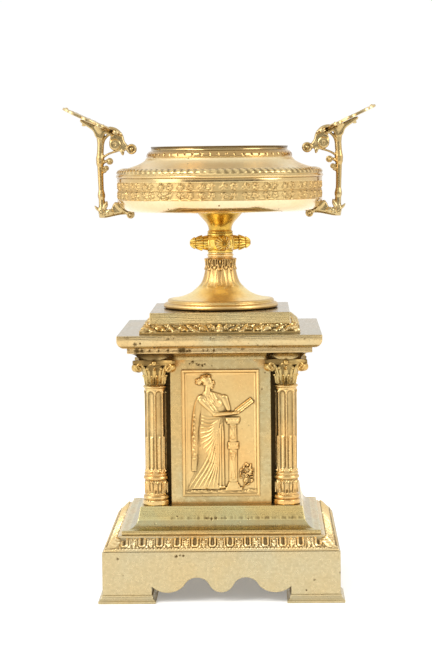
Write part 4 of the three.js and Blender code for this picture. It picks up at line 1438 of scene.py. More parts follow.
def chips(spots):
    """Carving rule: small chipped pits, at noted places in front and scattered on the other sides."""
    scatter = np.random.default_rng(7).uniform([-75, 0.2, 0.5], [75, 1.0, 1.1], (24, 3))

    def carve(along, up, edge, side):
        span = up.max()
        holes = [(x, span * share, r) for x, share, r in spots] if side == 0 else []
        holes += [(x, span * share, r) for x, share, r in scatter[6 * side:6 * side + 6]]
        height = np.zeros(np.broadcast(along, up).shape)
        for x, at, radius in holes:
            ragged = radius * (1 + 0.25 * np.sin(7 * along + 5 * up))
            height = np.minimum(height, -dome(along - x, up - at, ragged, 0.8 * ragged, 0.45))
        return height, 2.5 * height

    return carve


class Cornice(PieceOperator, bpy.types.Operator):
    """Moulded cornice slab with a pitted fillet"""

    bl_idname = "centerpiece.cornice"
    bl_label = "Cornice"

    def execute(self, context):
        plinth, _ = centerpiece(context)
        low, high = node_box("cornice")
        cavetto = [(65.3, low[2])] + arc((65.3, low[2]), (73.0, 199.0), 1.3, 10)
        lip = [(73.0, 199.0), (74.3, 199.1), (74.6, 199.4)]
        ovolo = [(74.6, 203.2), (74.9, 203.4), (77.4, 203.4)] + arc((77.5, 203.5), (high[0], 210.2), -1.4, 10)
        spans = [
            (cavetto, cavetto_patina_and_shade),
            (lip, None),
            ([(74.6, 199.4), (74.6, 203.2)], chips(FILLET_CHIPS)),
            (ovolo, None),
            ([(high[0], 210.2), (high[0], high[2] - 0.5)], chips(FACE_CHIPS)),
            ([(high[0], high[2] - 0.5), (high[0] - 0.15, high[2] - 0.15), (high[0] - 0.5, high[2])], None),
        ]
        shell = squared(spans, plinth.arris / MM, *CORNICE_MESH)
        assemble("cornice_polished", [shell], "pale cornice", ["cornice"])
        return {"FINISHED"}


def raking_leaves(period):
    """Carving rule: scrolling leaves that lean outwards from the middle of each side."""

    def carve(along, up, edge, side):
        out, row = np.abs(along), 9.2
        wander = 1.1 * np.sin(0.37 * along + side) + 0.7 * np.sin(0.91 * along)
        x = out - 0.75 * (up - 4.5) + wander
        place = x / period
        number = np.floor(place)
        q = (place - number - 0.5) * period
        turned_up = np.where(number % 2 == 0, up, row - up)
        blade = leaf(q + 0.1 * period, turned_up - 0.3, 0.8 * period, 8.4, 1.5, 3)
        curl = np.hypot(q - 0.26 * period, turned_up - 6.2)
        curled = np.maximum(
            bead(curl - 1.5, 0.5, 1.5), dome(q - 0.26 * period, turned_up - 6.2, 0.7, 0.7, 1.6)
        )
        small = np.hypot(q - 0.36 * period, turned_up - 2.6)
        curled = np.maximum(curled, bead(small - 1.0, 0.42, 1.2))
        stem = bead(q + 0.42 * period - 0.12 * turned_up, 0.42, 1.0) * (up > 0.6) * (up < 8.4)
        middle = leaf(along, up - 0.3, 8.0, 9.0, 1.9, 3)
        corner = leaf(edge - out, up - 0.3, 11.0, 8.8, 1.7, 3)
        clear = soft_step(out, 2.6, 4.2) * soft_step(edge - out, 3.4, 5.2)
        field = highest(blade, curled, stem) * clear
        leaves = highest(field, middle, corner)
        ground = 0.9 * soft_step(up, 0.2, 0.8) * soft_step(row - up, 0.0, 0.6)
        chased = 0.22 * np.sin(2.9 * x + 1.7 * up) * np.sin(2.3 * up + 0.6) * (leaves > 0.3)
        height = leaves + chased - ground
        return height, 1.5 * height - 0.3

    return carve


class LeafMoulding(PieceOperator, bpy.types.Operator):
    """Raking leaf moulding between the cornice and the upper step"""

    bl_idname = "centerpiece.leaf_moulding"
    bl_label = "Leaf moulding"

    def execute(self, context):
        plinth, _ = centerpiece(context)
        low, high = node_box("leaf_moulding")
        step = plinth.carving_step / MM
        slope = rounded([(64.9, 214.9), (64.9, 216.4), (61.4, 219.2), (58.6, 221.0)], 1.2)
        spans = [([(64.9, low[2]), (65.3, low[2] + 0.2), (65.3, low[2] + 0.7), (64.9, 214.9)], None)]
        spans += [(slope, raking_leaves(plinth.leaf_period / MM)), ([(58.6, 221.0), (58.2, high[2])], None)]
        shell = squared(spans, 0.3, int(130 / step), step)
        assemble("leaf_moulding_carved", [shell], "warm moulding", ["leaf_moulding"])
        return {"FINISHED"}


class UpperStep(PieceOperator, bpy.types.Operator):
    """Plain square step under the bowl's foot"""

    bl_idname = "centerpiece.upper_step"
    bl_label = "Upper step"

    def execute(self, context):
        plinth, _ = centerpiece(context)
        low, high = node_box("upper_step")
        half, edge = high[0], plinth.arris / MM
        outline = [(half - 0.2, low[2]), (half, low[2] + 0.3), (half, high[2] - edge)]
        outline += [(half - 0.3 * edge, high[2] - 0.3 * edge), (half - edge, high[2])]
        assemble("upper_step_polished", [squared([(outline, None)], edge)], "pale upper step", ["upper_step"])
        return {"FINISHED"}


# The tazza


def foot_leaves(turn, up):
    """Carving rule of the stem: long leaves that rise from the trumpet to a collar of looped bands."""
    long_leaves, loops, collar_foot = 16, 8, 17.4
    x = repeated(turn, long_leaves, TAU * 14.0)
    number = np.floor(turn * long_leaves)
    long_leaf = leaf(x, up - 1.0 - 1.2 * (number % 2), 5.2, 19.0, 0.5, 1)
    slit = -0.3 * np.exp(-((x / 0.22) ** 2)) * soft_step(up, 3, 6) * soft_step(20 - up, 0, 3)
    y = repeated(turn + 0.5 / loops, loops, TAU * 12.6)
    loop = np.hypot(y, np.maximum(up - 24.6, 0.35 * (up - 24.6)))
    looped = np.maximum(bead(loop - 2.3, 0.6, 1.15), dome(y, up - 24.4, 1.1, 1.9, 1.0))
    ribbon = bead(np.abs(y) - 0.62 * (26.2 - up), 0.5, 1.05) * (up > 18.8) * (up < 23.6)
    drop = dome(np.abs(y) - 4.95, up - 19.6, 1.3, 1.5, 1.0)
    half_loop = bead(np.hypot(4.95 - np.abs(y), np.maximum(up - 26.0, 0)) - 1.4, 0.5, 1.0) * (up > 20)
    collar = highest(looped, ribbon, drop, half_loop) * (up > collar_foot) * (up < 29.2)
    ground = 0.3 * soft_step(up, 0, 4) + 0.5 * soft_step(up, 17.5, 20) - 0.5 * soft_step(up, 28.6, 29.4)
    height = np.maximum(long_leaf + slit * (long_leaf > 0), collar) - ground
    return height, 1.2 * height - 0.2 * (up > collar_foot)


class TazzaFoot(PieceOperator, bpy.types.Operator):
    """Trumpet foot with a moulded disc and a leafy collar"""

    bl_idname = "centerpiece.tazza_foot"
    bl_label = "Bowl's foot"

    def execute(self, context):
        low, high = node_box("tazza_foot")
        disc = rounded([
            (45.2, low[2]), (46.2, 230.8), (47.7, 231.8), (48.0, 233.0), (47.4, 234.4), (46.0, 235.2),
            (44.5, 235.5),
            (44.3, 236.2), (44.6, 237.2), (43.6, 238.2), (42.6, 238.2),
        ], 0.5)
        trumpet = smooth_curve([(42.6, 238.2), (36.6, 239.2), (31.0, 240.7), (25.0, 243.4), (20.6, 246.8)], 6)
        stem = smooth_curve(
            [
                (20.6, 246.8), (17.4, 250.2), (15.3, 253.6), (13.7, 258.6), (12.8, 264.0), (12.7, 268.0),
                (13.3, 271.4)
            ],
            6
        )
        neck = rounded(
            [
                (13.3, 271.4), (12.6, 272.0), (10.8, 272.3), (10.3, 273.0), (10.9, 274.0), (11.0, 275.0),
                (10.2, 275.8), (10.2, high[2])
            ],
            0.4
        )
        spans = [
            (disc, None), (listed(trumpet), None), (listed(stem), foot_leaves),
            (neck, None)
        ]
        assemble("tazza_foot_carved", [turned(spans, *FOOT_MESH)], "warm tazza", ["tazza_foot"])
        return {"FINISHED"}


def rosette(around=126, rings=30):
    """A domed flower of spiky rays in three tiers, standing out along +X from its own base."""
    angle = np.arange(around) / around * TAU
    out = np.linspace(0, 1, rings)[:, None]
    petals, tiers = 14, 3
    tier = np.floor(out * tiers)
    local = out * tiers - tier
    wave = np.abs((angle / TAU * petals + 0 * out) % 1 - 0.5) * 2
    spike = (0.55 + 0.45 * (1 - wave)) * (1 - local) ** 0.6
    radius = 7.6 * np.sqrt(1 - 0.985 * out**1.6) * (0.78 + 0.24 * spike) * (1 - 0.2 * (1 - out) ** 4)
    radius[-1] = 0.3
    along = 8.6 + 16.6 * (1 - (1 - out) ** 1.2) + 0.9 * (1 - wave) * out
    along = np.minimum(along, 25.6)
    points = np.stack([along, radius * np.cos(angle), radius * np.sin(angle)], -1)
    tone = 1.1 - 2.4 * wave**2 - 0.6 * local**3
    return ring_shell(points, tone)


class Knop(PieceOperator, bpy.types.Operator):
    """Barrel knop with four spiky rosettes"""

    bl_idname = "centerpiece.knop"
    bl_label = "Knop"

    def execute(self, context):
        low, high = node_box("knop")
        middle = 0.5 * (low[2] + high[2])
        barrel = rounded([
            (9.8, low[2]), (10.6, 277.0), (10.8, 278.2), (10.2, 279.0), (11.6, 280.2), (12.5, 282.4),
            (12.7, middle),
            (12.5, 287.4), (11.6, 289.4), (10.2, 290.6), (10.8, 291.4), (10.8, 292.6), (10.2, high[2]),
        ], 0.6)

        def strips(turn, up):
            x = repeated(turn, 24, TAU * 12.5)
            return 0.22 * np.cos(TAU * x / 3.27) * np.sin(math.pi * np.clip(up / up.max(), 0, 1))

        spans = [(barrel[:14], None), (barrel[13:-13], strips), (barrel[-14:], None)]
        shells = [turned(spans, *KNOP_MESH)]
        for quarter in range(4):
            angle = quarter * math.pi / 2 + math.radians(9)
            shells.append(moved(rosette(), turn_z(angle), (0, 0, middle)))
        assemble("knop_carved", shells, "warm socket", ["knop"])
        return {"FINISHED"}


class BowlSocket(PieceOperator, bpy.types.Operator):
    """Polished cup that carries the bowl"""

    bl_idname = "centerpiece.bowl_socket"
    bl_label = "Bowl socket"

    def execute(self, context):
        low, high = node_box("bowl_socket")
        cup = [(10.2, low[2]), (10.6, 293.5), (10.6, 294.5), (9.9, 295.0), (9.5, 295.6)]
        flare = smooth_curve(
            [(9.5, 295.6), (10.1, 298.6), (11.9, 301.9), (15.0, 305.4), (17.8, 308.6), (18.5, 309.6)], 5
        )
        outline = (
            rounded(cup, 0.3) + listed(flare[1:])
            + [(18.8, 310.2), (18.8, 311.2), (18.5, high[2])]
        )
        assemble(
            "bowl_socket_polished", [turned([(outline, None)], SOCKET_SIDES)], "warm socket",
            ["bowl_socket"]
        )
        return {"FINISHED"}


def frieze_row(pairs, circumference, relief, swap):
    """Carving rule: pairs of a leafy spray and a flower, set in a sunk band."""

    def carve(turn, up):
        cell = repeated(turn, pairs, circumference)
        middle = up.max() / 2
        first = (np.floor(turn * pairs) + swap) % 3
        left = spray(cell + 4.2, (up - middle) * (1 - 2 * swap), 3.4, 1.0, 0.35)
        rose = flower(cell - 4.2, up - middle, 5 + swap, 3.1, 1.0, 0.25)
        twig = spray(cell - 4.2, up - middle, 3.4, 1.0, -0.5)
        right = np.where(first == 0, twig, rose)
        motif = np.maximum(left, right) * np.ones_like(up)
        # A painted shadow rings each motif's edge
        painted_shadow_outline = np.where(motif > 0.02, -0.75, 0.1)
        return relief * (motif - 0.5), np.where(motif > 0.45, 0.9 * motif, painted_shadow_outline)

    return carve


class Bowl(PieceOperator, bpy.types.Operator):
    """Drum of the bowl with two rows of flowers, hollow inside"""

    bl_idname = "centerpiece.bowl"
    bl_label = "Bowl"

    def execute(self, context):
        _, tazza = centerpiece(context)
        low, high = node_box("bowl")
        r, wall = 85.6, 2.6
        pairs, relief = tazza.frieze_pairs, 2 * tazza.frieze_relief / MM
        round_way = TAU * r
        belly = smooth_curve([(74.4, low[2]), (78.0, 312.4), (81.6, 314.8), (84.2, 318.0), (r, 321.0)], 6)
        lower = listed(belly) + [(r + 0.05, 321.6), (r - 0.4, 321.9), (r - 0.45, 322.1)]
        middle = [(r - 0.45, 328.4), (r - 0.1, 328.6), (r - 0.1, 329.0), (r - 0.45, 329.2)]
        upper = [(r - 0.45, 336.0), (r - 0.1, 336.3), (r, 336.8), (r, high[2] - 0.4), (r - 0.4, high[2])]
        inside = [
            (r - wall + 0.3, high[2]), (r - wall, high[2] - 0.3), (r - wall, 323.0), (r - wall - 1.6, 319.0)
        ]
        inside += [
            (79.6, 315.6), (74.6, 314.2), (60.0, low[2] + wall), (30.0, low[2] + wall), (1.0, low[2] + wall)
        ]
        spans = [
            ([(1.0, low[2]), (40.0, low[2]), (73.0, low[2])] + lower, None),
            ([(r - 0.45, 322.1), (r - 0.45, 328.4)], frieze_row(pairs, round_way, relief, 0)),
            (middle, None),
            ([(r - 0.45, 329.2), (r - 0.45, 336.0)], frieze_row(pairs, round_way, relief, 1)),
            (upper + inside, None),
        ]
        shell = turned(spans, *BOWL_MESH)
        assemble("bowl_chased", [shell], "bright bowl", ["bowl"])
        return {"FINISHED"}


def rim_leaves(count, circumference):
    """Carving rule of the torus: a wreath of small overlapping leaves."""

    def carve(turn, up):
        tall = up.max()
        x = repeated(turn, count, circumference)
        lean = x + 0.35 * (up - tall / 2)
        blade = leaf(lean, up - 0.1, circumference / count * 0.95, tall - 0.2, 0.8, 1)
        berry = dome(np.abs(x) - circumference / count / 2, up - 0.72 * tall, 0.75, 0.75, 0.7)
        height = 0.6 * np.maximum(blade, berry) - 0.3
        return height, 2.4 * height - 0.25

    return carve


def gadroon_row(count, circumference):
    """Carving rule of the neck: upright tongues with dark slots between them."""

    def carve(turn, up):
        tall = up.max()
        x = repeated(turn, count, circumference)
        half = circumference / count / 2
        leaning = (x + 0.25 * (up - tall / 2) + half) % (2 * half) - half
        slot = (
            bead(half - np.abs(leaning), 0.7, 1.0) * soft_step(up, 0.8, 1.6)
            * soft_step(tall - up, 1.2, 2.0)
        )
        seam = 0.5 * np.exp(-(((tall - up - 0.4) / 0.3) ** 2))
        return -0.6 * slot - 0.15 * seam, 0.15 - 1.6 * slot - 1.6 * seam

    return carve


def lip_painted_shade(turn, up):
    """Carving rule that only paints shade: a dark line under the lip's top edge."""
    tone = -1.9 * soft_step(up, up.max() - 1.7, up.max() - 1.0) * np.ones_like(turn)
    return 0 * tone, tone


class BowlShoulder(PieceOperator, bpy.types.Operator):
    """Shoulder of the bowl: leafy torus, hollow, gadrooned neck and open lip"""

    bl_idname = "centerpiece.bowl_shoulder"
    bl_label = "Bowl shoulder"

    def execute(self, context):
        _, tazza = centerpiece(context)
        low, high = node_box("bowl_shoulder")
        seam = rounded(
            [(83.4, low[2]), (85.6, low[2]), (86.4, 340.1), (86.6, 341.0), (86.2, 341.9), (85.6, 342.4)],
            0.3
        )
        torus = smooth_curve(
            [(85.6, 342.4), (86.1, 343.4), (85.8, 344.8), (84.4, 346.2), (82.0, 347.1), (79.4, 347.4)], 5
        )
        hollow = smooth_curve(
            [(78.4, 347.2), (74.6, 348.3), (70.2, 349.7), (65.6, 351.7), (62.6, 353.6), (61.4, 355.0)], 5
        )
        hollow = [(79.0, 347.0)] + listed(hollow) + [(61.2, 355.5), (60.6, 355.9)]
        gadroons = [(60.6, 355.9), (60.9, 357.2), (60.4, 359.4), (58.8, 361.2)]
        lip = smooth_curve([(58.8, 361.2), (57.4, 361.8), (56.8, 362.6), (56.8, 364.0), (57.2, 364.8)], 4)
        inner = [
            (57.2, 364.8), (56.9, high[2] - 0.15), (56.4, high[2]), (55.2, high[2]), (54.7, high[2] - 0.2),
            (54.4, high[2] - 0.8)
        ]
        inner += [
            (54.6, 361.0), (57.4, 356.4), (60.0, 352.4), (70.0, 347.2), (80.8, 344.4), (83.0, 342.0),
            (83.0, low[2] + 0.3)
        ]
        spans = [
            (seam, None),
            (listed(torus), rim_leaves(tazza.torus_leaves, TAU * 85)),
            ([(79.4, 347.4), (79.0, 347.0)] + hollow[1:], None),
            (gadroons, gadroon_row(tazza.gadroons, TAU * 60)),
            (listed(lip), lip_painted_shade),
            (inner, None),
        ]
        shell = turned(spans, *SHOULDER_MESH, loop=True)
        assemble("bowl_shoulder_chased", [shell], "bright bowl", ["bowl_shoulder"])
        return {"FINISHED"}


# The handles, drawn for the right side


def fused(name, shells, voxel, rounds):
    """The shells joined into one cast skin, as a plain shell again."""
    points, faces, start = [], [], 0
    for shell in shells:
        points.append(shell.points)
        faces += [[start + k for k in face] for face in shell.faces]
        start += len(shell.points)
    mesh = bpy.data.meshes.new(name)
    mesh.from_pydata(np.vstack(points).tolist(), [], faces)
    holder = bpy.data.objects.new(name, mesh)
    bpy.context.scene.collection.objects.link(holder)
    skin = holder.modifiers.new("one skin", "REMESH")
    skin.mode = "VOXEL"
    skin.voxel_size = voxel
    soft = holder.modifiers.new("cast softness", "SMOOTH")
    soft.factor = 0.5
    soft.iterations = rounds
    result = bpy.data.meshes.new_from_object(holder.evaluated_get(bpy.context.evaluated_depsgraph_get()))
    cast = np.zeros(3 * len(result.vertices))
    result.vertices.foreach_get("co", cast)
    cast = cast.reshape(-1, 3)
    cast_faces = [list(p.vertices) for p in result.polygons]
    bpy.data.objects.remove(holder)
    bpy.data.meshes.remove(mesh)
    bpy.data.meshes.remove(result)
    return Shell(cast, outward(cast, cast_faces), np.zeros(len(cast)))


def leaf_blade(base, tip, width, thick, bend):
    """A small pointed leaf standing in XZ, with a raised midrib."""
    (x0, z0), (x1, z1) = base, tip
    along = np.linspace(0, 1, 12)
    half = width / 2 * np.sin(math.pi * (0.1 + 0.9 * along)) ** 0.7
    dx, dz = x1 - x0, z1 - z0
    size = math.hypot(dx, dz)
    side = np.array([-dz, dx]) / size
    centre = (
        np.stack([x0 + dx * along, z0 + dz * along], 1) + side * (bend * np.sin(math.pi * along))[:, None]
    )
    outline = np.concatenate([centre + side * half[:, None], (centre - side * half[:, None])[::-1]])
    return cushion(outline, thick, 0.4, min(0.35, thick / 3), 2)


# Round bosses of the handle: place in X and Z, radius, thickness and whether it has a ring round its middle
HANDLE_BOSSES = [
    (86.9, 367.4, 4.7, 5.4, False), (73.2, 363.7, 4.2, 5.8, True), (91.6, 353.7, 2.8, 5.8, True),
    (94.6, 347.9, 2.2, 5.4, True), (74.7, 309.0, 3.2, 6.4, True), (99.0, 311.4, 2.4, 7.2, True),
]

# Outlines of a boss without and with a ring, as shares of its radius and ways out
EYED = [(0.05, -0.10), (0.14, -0.08), (0.20, 0.03), (0.6, 0.08), (0.9, 0.02), (1.0, -0.12), (1.04, -0.3)]
RINGED = [
    (0.06, 0.22), (0.26, 0.18), (0.36, 0.04), (0.44, -0.16), (0.6, -0.16), (0.68, 0.06), (0.84, 0.12),
    (1.0, -0.08), (1.04, -0.3)
]


def boss_tone(points):
    """Dark eyes and rings on the handle's bosses, for the handle on the right."""
    tone = np.zeros(len(points))
    for x, z, radius, thick, ringed in HANDLE_BOSSES:
        away = np.hypot(points[:, 0] - x, points[:, 2] - z) / radius
        dark = (away > 0.36) & (away < 0.68) if ringed else away < 0.2
        on_face = np.abs(points[:, 1]) > 0.3 * thick
        tone = np.where(dark & on_face, -0.85, tone)
        tone = np.where((away < 1.05) & ~dark & on_face, 0.7, tone)
    return tone


# The upright: its path, and its radius at some heights
UPRIGHT = [
    (98.0, 306.8), (98.2, 312), (98.8, 322), (99.2, 332), (99.5, 345), (99.6, 356), (99.0, 368), (99.4, 377),
    (100.6, 383.6),
]
UPRIGHT_GIRTH = [
    (306, 3.0), (309, 3.3), (312, 3.1), (322, 2.6), (323.6, 3.1), (325.4, 3.2), (327.4, 3.1), (328.4, 2.3),
    (336, 2.35), (350.6, 2.6), (351.8, 3.5), (353.4, 3.6), (354.6, 3.0), (355.8, 3.6), (357.6, 3.5),
    (359, 2.9),
    (368, 2.9), (377, 3.6), (384, 5.0),
]
THUMB_SPUR = [(110.4, 384.4), (112.8, 383.6), (114.4, 384.4)]
THUMB_SPUR_RADII = [0.7, 0.7, 0.8, 0.8, 0.8, 0.9, 0.9]

# Round bars: curve steps, radius at each end, cells round it, how much wider it is across, and path
HANDLE_BARS = [
    (5, 2.6, 1.7, 12, 1.3, [
        (100.6, 309.0), (96.0, 308.8), (90.0, 309.8), (84.0, 310.8), (78.0, 310.9), (75.0, 309.6),
    ]),
    (5, 2.1, 1.7, 10, 1.35, [
        (96.4, 378.6), (91.6, 380.6), (86.2, 379.4), (82.0, 375.0), (80.4, 369.6), (77.4, 365.6),
    ]),
    (4, 1.0, 0.9, 8, 1.4, [(97.0, 357.0), (93.0, 359.6), (88.6, 361.2), (84.6, 362.2)]),
    (4, 1.3, 1.1, 8, 1.6, [(97.6, 366.0), (96.2, 371.4), (92.6, 375.4), (88.4, 377.0)]),
    (4, 1.6, 1.0, 8, 1.4, [(97.4, 352.6), (95.4, 353.4), (93.0, 355.0)]),
    (4, 1.4, 0.8, 8, 1.4, [(97.6, 346.0), (96.4, 344.8), (94.6, 345.4)]),
]

# Flat castings: curve steps, thickness, radius of the edge and outline
HANDLE_CASTINGS = [
    (3, 6.0, 1.2, [
        (99.0, 307.4), (93, 308.2), (87.4, 309.2), (81, 310.6), (77.6, 311.6), (80.6, 314.0), (85, 317.6),
        (87.6, 319.2), (89.4, 317.4), (91.0, 314.0), (94.0, 313.4), (97.6, 316.0), (101.2, 315.0),
        (101.6, 310.0),
    ]),
    (4, 4.6, 0.9, [
        (89.4, 376.6), (84.6, 377.8), (81.8, 373.2), (80.6, 367.8), (77.6, 364.9), (78.2, 362.6),
        (81.4, 362.0),
        (86.2, 361.9), (90.2, 364.2), (91.8, 368.0), (91.2, 372.6),
    ]),
    (3, 6.6, 0.9, [
        (97.0, 372.0), (102.6, 373.4), (105.0, 378.8), (109.6, 382.4), (115.6, 386.6), (113.8, 388.6),
        (100.4, 382.3),
        (88.6, 376.8), (90.4, 374.6), (95.0, 377.0),
    ]),
]

# Small leaves: base, tip, width, thickness and bend
HANDLE_LEAVES = [
    ((81.0, 312.4), (88.2, 319.6), 4.4, 6.8, 0.6), ((88.6, 310.4), (93.6, 313.6), 3.4, 6.8, 0.0),
    ((97.6, 313.4), (94.4, 320.9), 3.0, 6.4, 0.8), ((99.4, 312.0), (104.9, 316.9), 2.4, 5.0, -0.5),
    ((81.4, 364.0), (80.4, 358.3), 3.0, 5.0, 0.0),
]


def handle_shells():
    """The handle's bars, castings, bosses and leaves, still apart."""
    upright = smooth_curve(UPRIGHT, 5)
    parts = [tube(upright, np.interp(upright[:, 1], *zip(*UPRIGHT_GIRTH)), 16)]
    parts.append(tube(smooth_curve(THUMB_SPUR, 3), THUMB_SPUR_RADII, 8))
    for steps, first, last, around, squash, path in HANDLE_BARS:
        curve = smooth_curve(path, steps)
        parts.append(tube(curve, np.linspace(first, last, len(curve)), around, squash))
    for steps, thick, edge, outline in HANDLE_CASTINGS:
        parts.append(cushion(smooth_curve(outline, steps), thick, 0.0, edge))
    for x, z, radius, thick, ringed in HANDLE_BOSSES:
        parts.append(moved(button(radius, thick, RINGED if ringed else EYED), shift=(x, 0, z)))
    parts += [leaf_blade(*leaf_row) for leaf_row in HANDLE_LEAVES]
    parts.append(moved(scroll(1.2, 7.6, 1.0), shift=(93.6, 0, 311.2)))
    return parts


class Handles(PieceOperator, bpy.types.Operator):
    """Two cast scrolled handles that grip the bowl from below"""

    bl_idname = "centerpiece.handles"
    bl_label = "Handles"

    def execute(self, context):
        skin = fused("handle skin", handle_shells(), *HANDLE_SKIN)
        right = Shell(skin.points, skin.faces, boss_tone(skin.points))
        assemble("handle_right_cast", [right], "warm handle", ["handle_right"])
        assemble("handle_left_cast", [moved(right, MIRROR_X)], "warm handle", ["handle_left"])
        return {"FINISHED"}


def palmette_plate(length_along, thick):
    """A fan of seven lobes with ribs and beads, drawn flat along X with its thickness in Z."""
    root, spread, lobes = 15.0, math.radians(100), 7
    angle = np.linspace(-1, 1, 113) * spread
    share = (angle / spread + 1) / 2
    reach = 15.5 + (length_along - root - 15.5) * np.clip(np.cos(angle * 0.82), 0, 1) ** 1.4
    scallop = 0.87 + 0.13 * np.abs(np.cos(math.pi * lobes * share - math.pi / 2))
    fan = np.stack([root + reach * scallop * np.cos(angle), reach * scallop * np.sin(angle)], 1)
    shoulder = smooth_curve([(9.6, 6.4), (8.0, 10.0), (4.4, 10.6), (2.0, 7.6), (3.2, 4.4), (0.3, 2.4)], 4)
    outline = np.vstack([fan, shoulder, (shoulder * [1, -1])[::-1]])
    centre = np.array([root, 0.0])
    shrink = np.linspace(1, 0.03, 26)[:, None, None]
    grid = centre + (outline[None] - centre) * shrink
    away = np.hypot(grid[..., 0] - root, grid[..., 1])
    turn = np.arctan2(grid[..., 1], grid[..., 0] - root)
    local = ((turn / spread + 1) / 2 * lobes) % 1 - 0.5
    ahead = np.abs(turn) < spread
    rib = 0.55 * np.cos(local * math.pi) ** 2 * soft_step(away, 5, 9) * ahead
    vein = 0.4 * np.exp(-((local / 0.07) ** 2)) * soft_step(away, 7, 10) * ahead
    boss = dome(grid[..., 0] - root, grid[..., 1], 4.6, 4.6, 0.9)
    border = 0.35 * soft_step(1 - shrink[..., 0], 0.10, 0.03)
    height = np.maximum(rib - 0.25 - vein, boss) + border - 0.15
    edge = thick / 2 - 0.6
    top = np.concatenate([grid, (edge + height)[..., None]], -1)[::-1]
    bottom = np.concatenate([grid, np.full(height.shape, -thick / 2)[..., None]], -1)
    top[-1, :, 2] = edge - 0.35
    bottom[0, :, 2] = -thick / 2 + 0.35
    relief = np.concatenate([height[::-1], np.zeros(height.shape)])
    return ring_shell(np.concatenate([top, bottom]), relief)


class ThumbPlates(PieceOperator, bpy.types.Operator):
    """Sloping palmette plates on top of the handles"""

    bl_idname = "centerpiece.thumb_plates"
    bl_label = "Thumb plates"

    def execute(self, context):
        inner, tip, thick = (80.4, 375.0), (130.2, 398.2), 3.0
        rise = math.atan2(tip[1] - inner[1], tip[0] - inner[0])
        span = math.hypot(tip[1] - inner[1], tip[0] - inner[0])
        c, s = math.cos(rise), math.sin(rise)
        slope = [[c, 0, -s], [0, 1, 0], [s, 0, c]]
        flat = [palmette_plate(span, thick)]
        for x, y in ((2.6, 0.0), (5.0, 8.6), (5.0, -8.6), (span - 3.2, 0.0)):
            flat.append(blob(x, y, thick / 2 - 0.4, 1.3, 1.3, 0.9, 12, 7))
        right = [moved(shell, slope, (inner[0], 0, inner[1])) for shell in flat]
        assemble("thumb_plate_right_chased", right, "warm plate", ["thumb_plate_right"])
        left = [moved(shell, MIRROR_X) for shell in right]
        assemble("thumb_plate_left_chased", left, "warm plate", ["thumb_plate_left"])
        return {"FINISHED"}


# The stage


def floor_material(colour_of_floor):
    material = bpy.data.materials.new("pale paper sweep")
    material.use_nodes = True
    tree = material.node_tree
    shader = tree.nodes["Principled BSDF"]
    shader.inputs["Roughness"].default_value = 0.85
    where = wire(tree, "TexCoord", output=3)
    cloud = noise(tree, where, 1.5, 2.0)
    tone = blended(tree, cloud, opaque(colour_of_floor), opaque([0.97 * c for c in colour_of_floor]))
    tree.links.new(tone, shader.inputs["Base Color"])
    tree.links.new(tone, shader.inputs["Emission Color"])
    shader.inputs["Emission Strength"].default_value = 0.25
    return material


# Strength of the world's light: room in front, sweep behind, side boxes, glint, above and below
ROOM, SWEEP = 0.26, 1.02
LEFT_BOX, RIGHT_BOX, GLINT = 1.25, 1.2, 3.6
OVERHEAD, UNDERFOOT = 1.0, 1.0

# Lamps as name, place and power in watts, all of one size and turned to the middle of the object
LAMPS = [("key", (-1.2, -1.2, 1.6), 18.0), ("fill", (1.4, -0.8, 1.0), 10.0)]
LAMP_SIZE = 1.0
MIDDLE = (0, 0, 0.2)

# The camera looks at this point
CAMERA_TARGET = (-0.004294, 0, 0.216525)
SENSOR_WIDTH = 36.0


def area_light(name, place, power):
    light = bpy.data.lights.new(name, "AREA")
    light.shape = "DISK"
    light.size = LAMP_SIZE
    light.energy = power
    lamp = bpy.data.objects.new(name, light)
    bpy.context.scene.collection.objects.link(lamp)
    lamp.location = place
    lamp.rotation_euler = (Vector(MIDDLE) - Vector(place)).to_track_quat("-Z", "Y").to_euler()


def studio_world():
    """A white sweep behind and below, a dim room in front, and soft boxes at the sides and overhead."""
    world = bpy.data.worlds.new("studio")
    world.use_nodes = True
    tree = world.node_tree
    way = wire(tree, "TexCoord", output=0)
    x, y, z = (wire(tree, "SeparateXYZ", {"Vector": way}, output=k) for k in range(3))
    strip = times(tree, ramped(tree, x, -0.66, -0.72), ramped(tree, x, -0.97, -0.93))
    front_strip = times(tree, strip, ramped(tree, y, 0.0, -0.1))
    parts = (
        ramped(tree, y, -0.15, 0.35, ROOM, SWEEP),
        ramped(tree, x, -0.52, -0.66, 0.0, LEFT_BOX),
        times(tree, front_strip, ramped(tree, z, 0.75, 0.45, 0.0, GLINT)),
        ramped(tree, x, 0.66, 0.80, 0.0, RIGHT_BOX),
        ramped(tree, z, 0.05, 0.20, 0.0, OVERHEAD),
        ramped(tree, z, -0.05, -0.18, 0.0, UNDERFOOT),
    )
    strength = parts[0]
    for part in parts[1:]:
        strength = math_node(tree, "MAXIMUM", strength, part)
    background = tree.nodes["Background"]
    background.inputs["Color"].default_value = (1, 1, 1, 1)
    tree.links.new(strength, background.inputs["Strength"])
    return world


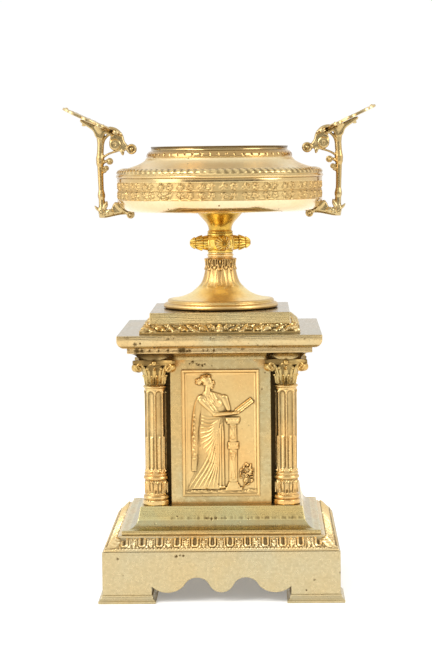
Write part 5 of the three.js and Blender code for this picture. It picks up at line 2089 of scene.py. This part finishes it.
class Stage(PieceOperator, bpy.types.Operator):
    """Pale floor, soft light and the camera"""

    bl_idname = "centerpiece.stage"
    bl_label = "Stage"

    def execute(self, context):
        scene = context.scene
        staging = scene.centerpiece_staging
        side, front = 1.6, -3.2
        mesh = bpy.data.meshes.new("floor")
        mesh.from_pydata(
            [(-side, front, 0), (side, front, 0), (side, side, 0), (-side, side, 0)], [], [(0, 1, 2, 3)]
        )
        mesh.materials.append(floor_material(staging.floor))
        floor = bpy.data.objects.new("floor", mesh)
        scene.collection.objects.link(floor)
        scene.world = studio_world()

        for lamp in LAMPS:
            area_light(*lamp)

        camera = bpy.data.cameras.new("camera")
        camera.sensor_width = SENSOR_WIDTH
        camera.lens = staging.focal / LONG_SIDE * camera.sensor_width
        holder = bpy.data.objects.new("camera", camera)
        scene.collection.objects.link(holder)
        az, el, roll = staging.azimuth, staging.elevation, staging.roll
        back = Vector((math.sin(az) * math.cos(el), -math.cos(az) * math.cos(el), math.sin(el)))
        right = (-back).cross(Vector((0, 0, 1))).normalized()
        up = right.cross(-back)
        turned_right = math.cos(roll) * right + math.sin(roll) * up
        turned_up = -math.sin(roll) * right + math.cos(roll) * up
        facing = Matrix((turned_right, turned_up, back)).transposed().to_4x4()
        place = Vector(CAMERA_TARGET) + back * staging.distance
        holder.matrix_world = Matrix.Translation(place) @ facing
        scene.camera = holder
        scene.view_settings.view_transform = "Standard"
        return {"FINISHED"}


PIECES = (
    BaseBox, EggAndDart, PlinthStep, Dado, ReliefPlaque, Columns, Cornice, LeafMoulding, UpperStep,
    TazzaFoot, Knop, BowlSocket, Bowl, BowlShoulder, Handles, ThumbPlates,
)
SETTINGS = (
    ("centerpiece_plinth", PlinthSizes), ("centerpiece_tazza", TazzaSizes),
    ("centerpiece_finish", Finish), ("centerpiece_staging", Staging),
)


class CenterpiecePanel(bpy.types.Panel):
    """Lists the centerpiece's sizes, pieces and stage"""

    bl_idname = "VIEW3D_PT_centerpiece"
    bl_label = "Centerpiece"
    bl_space_type = "VIEW_3D"
    bl_region_type = "UI"
    bl_category = "Centerpiece"

    def draw(self, context):
        layout = self.layout
        for holder, group in SETTINGS:
            box = layout.box()
            for name in group.__annotations__:
                box.prop(getattr(context.scene, holder), name)
        for piece in (Stage, *PIECES):
            layout.operator(piece.bl_idname)


def register():
    for holder, group in SETTINGS:
        bpy.utils.register_class(group)
        setattr(bpy.types.Scene, holder, PointerProperty(type=group))
    for kind in (Stage, *PIECES, CenterpiecePanel):
        bpy.utils.register_class(kind)


def unregister():
    for kind in (CenterpiecePanel, *reversed(PIECES), Stage):
        bpy.utils.unregister_class(kind)
    for holder, group in reversed(SETTINGS):
        delattr(bpy.types.Scene, holder)
        bpy.utils.unregister_class(group)


def main():
    register()
    for piece in (Stage, *PIECES):
        group, name = piece.bl_idname.split(".")
        getattr(getattr(bpy.ops, group), name)()


if __name__ == "__main__":
    main()
